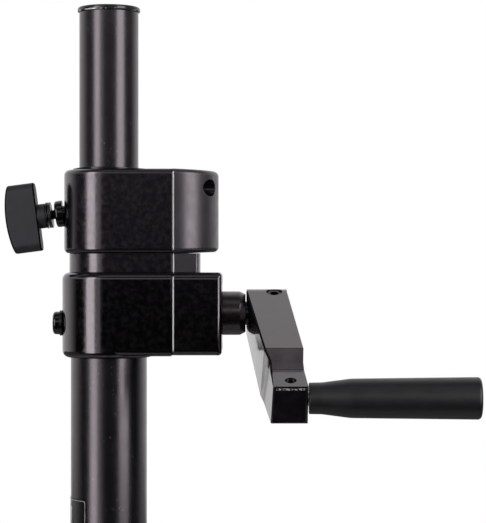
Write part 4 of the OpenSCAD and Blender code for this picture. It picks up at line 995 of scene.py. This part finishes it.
def washer_stack(name, place, body, *nodes):
    """Three loose washers, as one piece of three solids."""
    bm = bmesh.new()
    for i, (pitch, yaw) in enumerate(TILTS):
        middle = KNOB_START - WASHER_STEP / 2 - (2 - i) * WASHER_STEP
        askew = Matrix.Rotation(math.radians(pitch), 4, "X") @ Matrix.Rotation(math.radians(yaw), 4, "Y")
        ring = hollow(WASHER_BORE, WASHER_R, -WASHER_T / 2, WASHER_T / 2, WASHER_EDGE)
        lathe(bm, ring, place @ Matrix.Translation((0, 0, middle)) @ askew, 64)
    return add_piece(to_object(name, bm), body, "black_steel", black_steel, *nodes)


screw_end = KNOB_START + KNOB_HUB + SCREW_IN_KNOB
threaded_rod("mast_lock_thread", lock_place, -4.1 * MM, screw_end, "mast_lock_knob", "lock_screw")
threaded_rod("hub_lock_thread", leg_lock_place, -6.55 * MM, screw_end, "leg_lock_knob", "leg_lock_screw")
washer_stack("mast_lock_washers", lock_place, "mast_lock_slider", "lock_washers")
washer_stack("hub_lock_washers", leg_lock_place, "leg_lock_slider", "leg_lock_washers")

BOSS_BORE, BOSS_STEM, BOSS_IN = LOCK_SCREW_R + 0.06 * MM, 4.5 * MM, -2.6 * MM
boss = soften([
    (BOSS_BORE, BOSS_IN, 0), (BOSS_STEM, BOSS_IN, 0.3 * MM), (BOSS_STEM, BOSS_FOOT, 0),
    (BOSS_R, BOSS_FOOT, 0.5 * MM), (BOSS_R, BOSS_OUT, 1.5 * MM), (BOSS_BORE, BOSS_OUT, 0.4 * MM)])
turned("lock_boss_nut", boss, lock_place, "column", "black_steel", black_gloss, "lock_boss", around=80)

# %% [markdown]
# ## The label
# A blank film label goes a third of the way round the column. It has a thin pale border with round corners
# and a plain pale field round the side. The film is cut 1.6 mm taller than its CAD solid. Border and field
# are strips of ink, bent round the tube a hair above the film.

# %% Film, border and field
film_low, film_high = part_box("column_label")
film_high.z += 1.6 * MM
LABEL_START, LABEL_WRAP, LABEL_STEP = math.radians(31.5), math.radians(115.5), math.radians(3)
FIELD_START, FIELD_END = LABEL_START + math.radians(37), LABEL_START + math.radians(89)
FILM_R, INK, FRONT = column_r + 0.25 * MM, 0.04 * MM, -math.pi / 2
INSET, LINE, ROUND, SPACING = mm(0.9, 0.32, 1.4, 1.5)


def wrap(bm, start, end, low, high, inner, outer):
    """A thin curved patch on the column, from one turn from the front to another, towards -X."""
    count = round((end - start) / LABEL_STEP)
    turns = [FRONT - start - (end - start) * k / count for k in range(count + 1)]
    skin(bm, [[bm.verts.new(polar(radius, turn, z)) for radius, z in (
        (inner, low), (outer, low), (outer, high), (inner, high))] for turn in turns])


def border(bm):
    """A closed band on the label, with round corners, as quads round its outline."""
    half_w, half_h = LABEL_WRAP * FILM_R / 2 - INSET, (film_high.z - film_low.z) / 2 - INSET
    middle = Vector((-LABEL_START * FILM_R - LABEL_WRAP * FILM_R / 2, (film_high.z + film_low.z) / 2))
    track = []
    for cx, cy, start in ((1, 1, 0), (-1, 1, 90), (-1, -1, 180), (1, -1, 270)):
        track += arc((cx * (half_w - ROUND), cy * (half_h - ROUND)), ROUND, start, start + 90, 15)
    dense = []
    for (p, n), (q, m) in zip(track, track[1:] + track[:1]):
        count = max(1, round((q - p).length / SPACING))
        dense += [(p.lerp(q, k / count), n.lerp(m, k / count)) for k in range(count)]
    rings = []
    for point, out in dense:
        edges = [(middle + point - out * offset, lift)
                 for offset, lift in ((0, 0), (LINE, 0), (LINE, INK), (0, INK))]
        rings.append([bm.verts.new(polar(FILM_R + lift, FRONT + at.x / FILM_R, at.y)) for at, lift in edges])
    skin(bm, rings, endless=True)


film, ink = bmesh.new(), bmesh.new()
label_end = LABEL_START + LABEL_WRAP
wrap(film, LABEL_START, label_end, film_low.z, film_high.z, FILM_R - 0.2 * MM, FILM_R - 0.02 * MM)
add_piece(to_object("label_film_sheet", film), "column", "label_film", label_film, "column_label")
border(ink)
wrap(ink, FIELD_START, FIELD_END, film_low.z + 6 * MM, film_high.z - 5 * MM, FILM_R, FILM_R + INK)
add_piece(to_object("label_ink", ink), "column", "label_film", label_ink)

# %% [markdown]
# ## The tripod
# The legs are the same steel tube as the column, hinged between the ears of the sliding hub. The rubber foot
# of each leg is a ribbed sleeve that ends in a ball with a worn flat where it stands. The braces are pairs
# of flat steel straps. A function each makes a leg, a foot and a brace, and a loop runs them three times.

# %% Legs, feet and braces
LEG_R, LEG_WALL, LEG_OVER, LEG_REACH = mm(12.5, 1.5, 10, 690)
FOOT_R, FOOT_LEN, FOOT_WALL, RIB = mm(17, 42, 2.2, 0.8)
BRACE_LEN, BRACE_HALF, BRACE_T, STRAP_Y, BOLT_R = mm(300, 8, 3, 13.1, 4)
LEG_DRILL, STRAP_DRILL, BRACE_EDGE = mm(20, 30, 0.5)
QUARTER = math.pi / 2


def sleeve():
    """Half outline of a rubber foot, from the ball up, with five ribs."""
    ball = [FOOT_R * Vector((math.sin(a), -math.cos(a))) for a in (QUARTER * k / 12 for k in range(13))]
    top_r, bore = LEG_R + FOOT_WALL, LEG_R + SEAT
    climb = [(FOOT_R, 1 * MM, 0), (FOOT_R, 12 * MM, 2 * MM), (top_r, 15 * MM, 1 * MM)]
    for k in range(5):
        z = (18 + 4 * k) * MM
        climb += [(top_r, z, 0.3 * MM), (top_r - RIB, z + 0.6 * MM, 0.3 * MM),
                  (top_r - RIB, z + 1.8 * MM, 0.3 * MM), (top_r, z + 2.4 * MM, 0.3 * MM)]
    climb += [(top_r, FOOT_LEN, 0.8 * MM), (bore, FOOT_LEN, 0.3 * MM), (bore, 0, 0), (0, 0, 0)]
    return ball + soften(climb)[1:]


def leg(number, place, knee):
    """The tube of a leg, with a hole for its hinge bolt and one for the bolt of its brace."""
    tube = lathe(bmesh.new(), hollow(LEG_R - LEG_WALL, LEG_R, -LEG_REACH, LEG_OVER, 0.3 * MM), place)
    across = Matrix.Rotation(QUARTER, 4, "Y")
    places = [place @ Matrix.Translation((0, 0, -down)) @ across for down in (0, knee)]
    drills = [rod(BOLT_R + 0.06 * MM, -LEG_DRILL, LEG_DRILL, at) for at in places]
    made = combine(tube, f"leg_tube_{number}", drills)
    add_piece(made, f"leg_{number}", "black_powder_coat", tube_paint, f"leg_{number}")


def foot(number, place):
    """A rubber foot, cut flat where it stands on the floor."""
    ball = lathe(bmesh.new(), sleeve(), place)
    slice_at(ball, (0, 0, 0), DOWN, drop=True)
    bmesh.ops.contextual_create(ball, geom=[e for e in ball.edges if e.is_boundary])
    add_piece(to_object(f"rubber_foot_{number}", ball), f"leg_{number}", "rubber", rubber, f"foot_{number}")


def brace(number, place):
    """The two flat straps of a brace, with round ends and bolt holes; its length runs along Y."""
    straps = bmesh.new()
    outline = [*arc((0, BRACE_LEN), BRACE_HALF, 0, 180, 10), *arc((0, 0), BRACE_HALF, 180, 360, 10)]
    for low in (-STRAP_Y - BRACE_T, STRAP_Y):
        block(straps, outline, low, low + BRACE_T, BRACE_EDGE, 3)
    straps.transform(place)
    drills = [rod(BOLT_R + SEAT, -STRAP_DRILL, STRAP_DRILL, place @ Matrix.Translation((0, up, 0)), 48)
              for up in (0, BRACE_LEN)]
    made = combine(straps, f"brace_straps_{number}", drills)
    add_piece(made, f"brace_{number}", "black_steel", tube_paint, f"brace_{number}")


for number in (1, 2, 3):
    hinge_at, hinge_axis = axis_of(f"leg_{number}_fold")
    knee_at, _ = axis_of(f"brace_{number}_fold")
    up_leg = (hinge_at - knee_at).normalized()
    leg_place = place_on(hinge_at, up_leg, hinge_axis)
    leg(number, leg_place, (hinge_at - knee_at).length)
    foot(number, leg_place @ Matrix.Translation((0, 0, -LEG_REACH)))
    brace_foot = Vector((hinge_at.x, hinge_at.y, 2 * knee_at.z - hinge_at.z))
    brace_side = place_on(brace_foot, hinge_axis, knee_at - brace_foot)
    brace(number, brace_side @ Matrix.Rotation(-QUARTER, 4, "Z"))

# %% [markdown]
# ## Floor, light and camera
# The stand is nearly black, so it is drawn by what it mirrors. Two tall soft boxes, left and right of the
# camera, put one upright highlight on each side of every tube, and the white behind the stand gives the thin
# bright rims. In front it is dark, as a studio is behind the camera, so mirrors see the front of the floor
# as dark. The pale background is only what the camera and mirrors see of the world, and adds no light.

# %% Floor
FLOOR_HALF, FLOOR_LIFT, DARK_FROM = 9.0, 0.42, -0.75
PALE, SHADE = (0.8, 0.8, 0.8), (0.01, 0.01, 0.01)


def floor_finish():
    """Matt and pale, lifted towards the white backdrop for the camera, and dark in front for mirrors."""
    finish = new_finish("pale_floor", roughness=0.9, emission_color=(1, 1, 1, 1))
    ray = add_node(finish, "ShaderNodeLightPath").outputs
    where = add_node(finish, "ShaderNodeTexCoord").outputs["Object"]
    along = add_node(finish, "ShaderNodeSeparateXYZ", {"Vector": where}).outputs["Y"]
    dark = calc(finish, "MULTIPLY", calc(finish, "LESS_THAN", along, DARK_FROM), ray["Is Glossy Ray"])
    feed(finish, "Base Color", blend_colours(finish, dark, PALE, SHADE))
    return feed(finish, "Emission Strength", calc(finish, "MULTIPLY", ray["Is Camera Ray"], FLOOR_LIFT))


floor_mesh = bmesh.new()
floor_mesh.faces.new([floor_mesh.verts.new((x * FLOOR_HALF, y * FLOOR_HALF, 0)) for x, y in (
    (-1, -1), (1, -1), (1, 1), (-1, 1))])
floor = to_object("studio_floor", floor_mesh)
floor.data.materials.append(floor_finish())
print("Floor:", [round(v, 2) for v in floor.dimensions], "m")

# %% [markdown]
# A world can give one colour to what the camera sees, another to what mirrors see, and a third to the light
# that falls on matt surfaces. The Light Path node tells the three apart. What mirrors see is built from the
# direction of the ray: white towards the back, and in front black at the level of the horizon, with one white
# band above it, like a strip light under a dark ceiling, which the arm's sloping faces mirror.

# %% World
world = bpy.data.worlds.new("studio")
bpy.context.scene.world = world
world.use_nodes = True
world.node_tree.nodes.clear()

AMBIENT, WHITE, TO_BACK, BACK_FROM, BACK_FULL = 0.12, 1.0, (-0.12, 1, 0), 0.02, 0.52
# How high a ray points (0 is level, 1 straight up), and how bright it is there in front of the stand.
FRONT_GLOW = [(0.0, 0.0), (0.015, 0.01), (0.04, 0.06), (0.16, 0.1), (0.24, 1.0), (0.36, 1.0), (0.46, 0.1),
              (0.9, 0.1)]
direction = add_node(world, "ShaderNodeTexCoord").outputs["Generated"]
height = add_node(world, "ShaderNodeSeparateXYZ", {"Vector": direction}).outputs["Z"]
depth = add_node(world, "ShaderNodeVectorMath", {0: direction, 1: TO_BACK}, operation="DOT_PRODUCT")
behind = spread(world, depth.outputs["Value"], 0, 1, BACK_FROM, BACK_FULL)
front = add_node(world, "ShaderNodeValToRGB", {"Fac": height})
stops = front.color_ramp.elements
while len(stops) < len(FRONT_GLOW):
    stops.new(1)
for stop, (place, level) in zip(stops, FRONT_GLOW):
    stop.position, stop.color = place, (level, level, level, 1)
mirrored = calc(world, "MAXIMUM", behind, front.outputs["Color"])
ray = add_node(world, "ShaderNodeLightPath").outputs
in_mirror = calc(world, "MAXIMUM", ray["Is Glossy Ray"], ray["Is Transmission Ray"])
seen = add_node(world, "ShaderNodeMix", {0: in_mirror, 2: AMBIENT, 3: mirrored})
strength = add_node(world, "ShaderNodeMix", {0: ray["Is Camera Ray"], 2: seen.outputs[0], 3: WHITE})
sky = add_node(world, "ShaderNodeBackground", {"Color": (1, 1, 1, 1), "Strength": strength.outputs[0]})
add_node(world, "ShaderNodeOutputWorld", {"Surface": sky.outputs[0]})
print("World: ambient", AMBIENT, "and background", WHITE)

# %% [markdown]
# The left box has a bright core and a dimmer skirt, which gives its highlight a hot centre and a soft flank.
# The right one hangs higher, and a weak one overhead lights the tops. Their power is set so that a card that
# faces the camera shows its own colour.

# %% Lamps and camera
def soft_box(name, place, aim, width, height, brightness):
    """A rectangular lamp of a plain brightness, which faces a point and isn't itself in the picture."""
    light = bpy.data.lights.new(name, "AREA")
    light.shape, light.size, light.size_y = "RECTANGLE", width, height
    light.energy = brightness * math.pi * width * height
    lamp = bpy.data.objects.new(name, light)
    bpy.context.scene.collection.objects.link(lamp)
    lamp.location = place
    lamp.rotation_euler = (Vector(aim) - Vector(place)).to_track_quat("-Z", "Y").to_euler()
    lamp.visible_camera = False
    return lamp


# Name, turn from the camera's side in degrees (negative is to the left), height over the head, distance,
# width, height and brightness.
SOFT_BOXES = [("left_core", -42.5, 0.2, 1.5, 0.56, 1.8, 4.2), ("left_skirt", -38, 0.2, 1.6, 1.2, 1.8, 0.8),
              ("right_box", 49.5, 0.45, 1.5, 0.78, 1.5, 4.8)]
middle_of_head = Vector((0, 0, lower_low.z + 50 * MM))
for name, turn, up, away, width, height, brightness in SOFT_BOXES:
    place = middle_of_head + polar(away, FRONT + math.radians(turn), up)
    soft_box(name, place, middle_of_head + Vector((0, 0, up)), width, height, brightness)
soft_box("top_box", middle_of_head + Vector((0.1, -0.8, 1.5)), middle_of_head, 1.4, 0.45, 0.65)

LENS, SENSOR, CAMERA_RIGHT, CAMERA_AWAY, CAMERA_UP = 133.5, 36, 79.5 * MM, 1.15, 56.6 * MM
camera_data = bpy.data.cameras.new("camera")
camera_data.lens, camera_data.sensor_width = LENS, SENSOR
camera = bpy.data.objects.new("camera", camera_data)
bpy.context.scene.collection.objects.link(camera)
camera.location = (CAMERA_RIGHT, -CAMERA_AWAY, lower_low.z + CAMERA_UP)
camera.rotation_euler = (math.pi / 2, 0, 0)
bpy.context.scene.camera = camera
bpy.context.scene.view_settings.view_transform = "Standard"
print("Camera at", [round(v, 3) for v in camera.location])
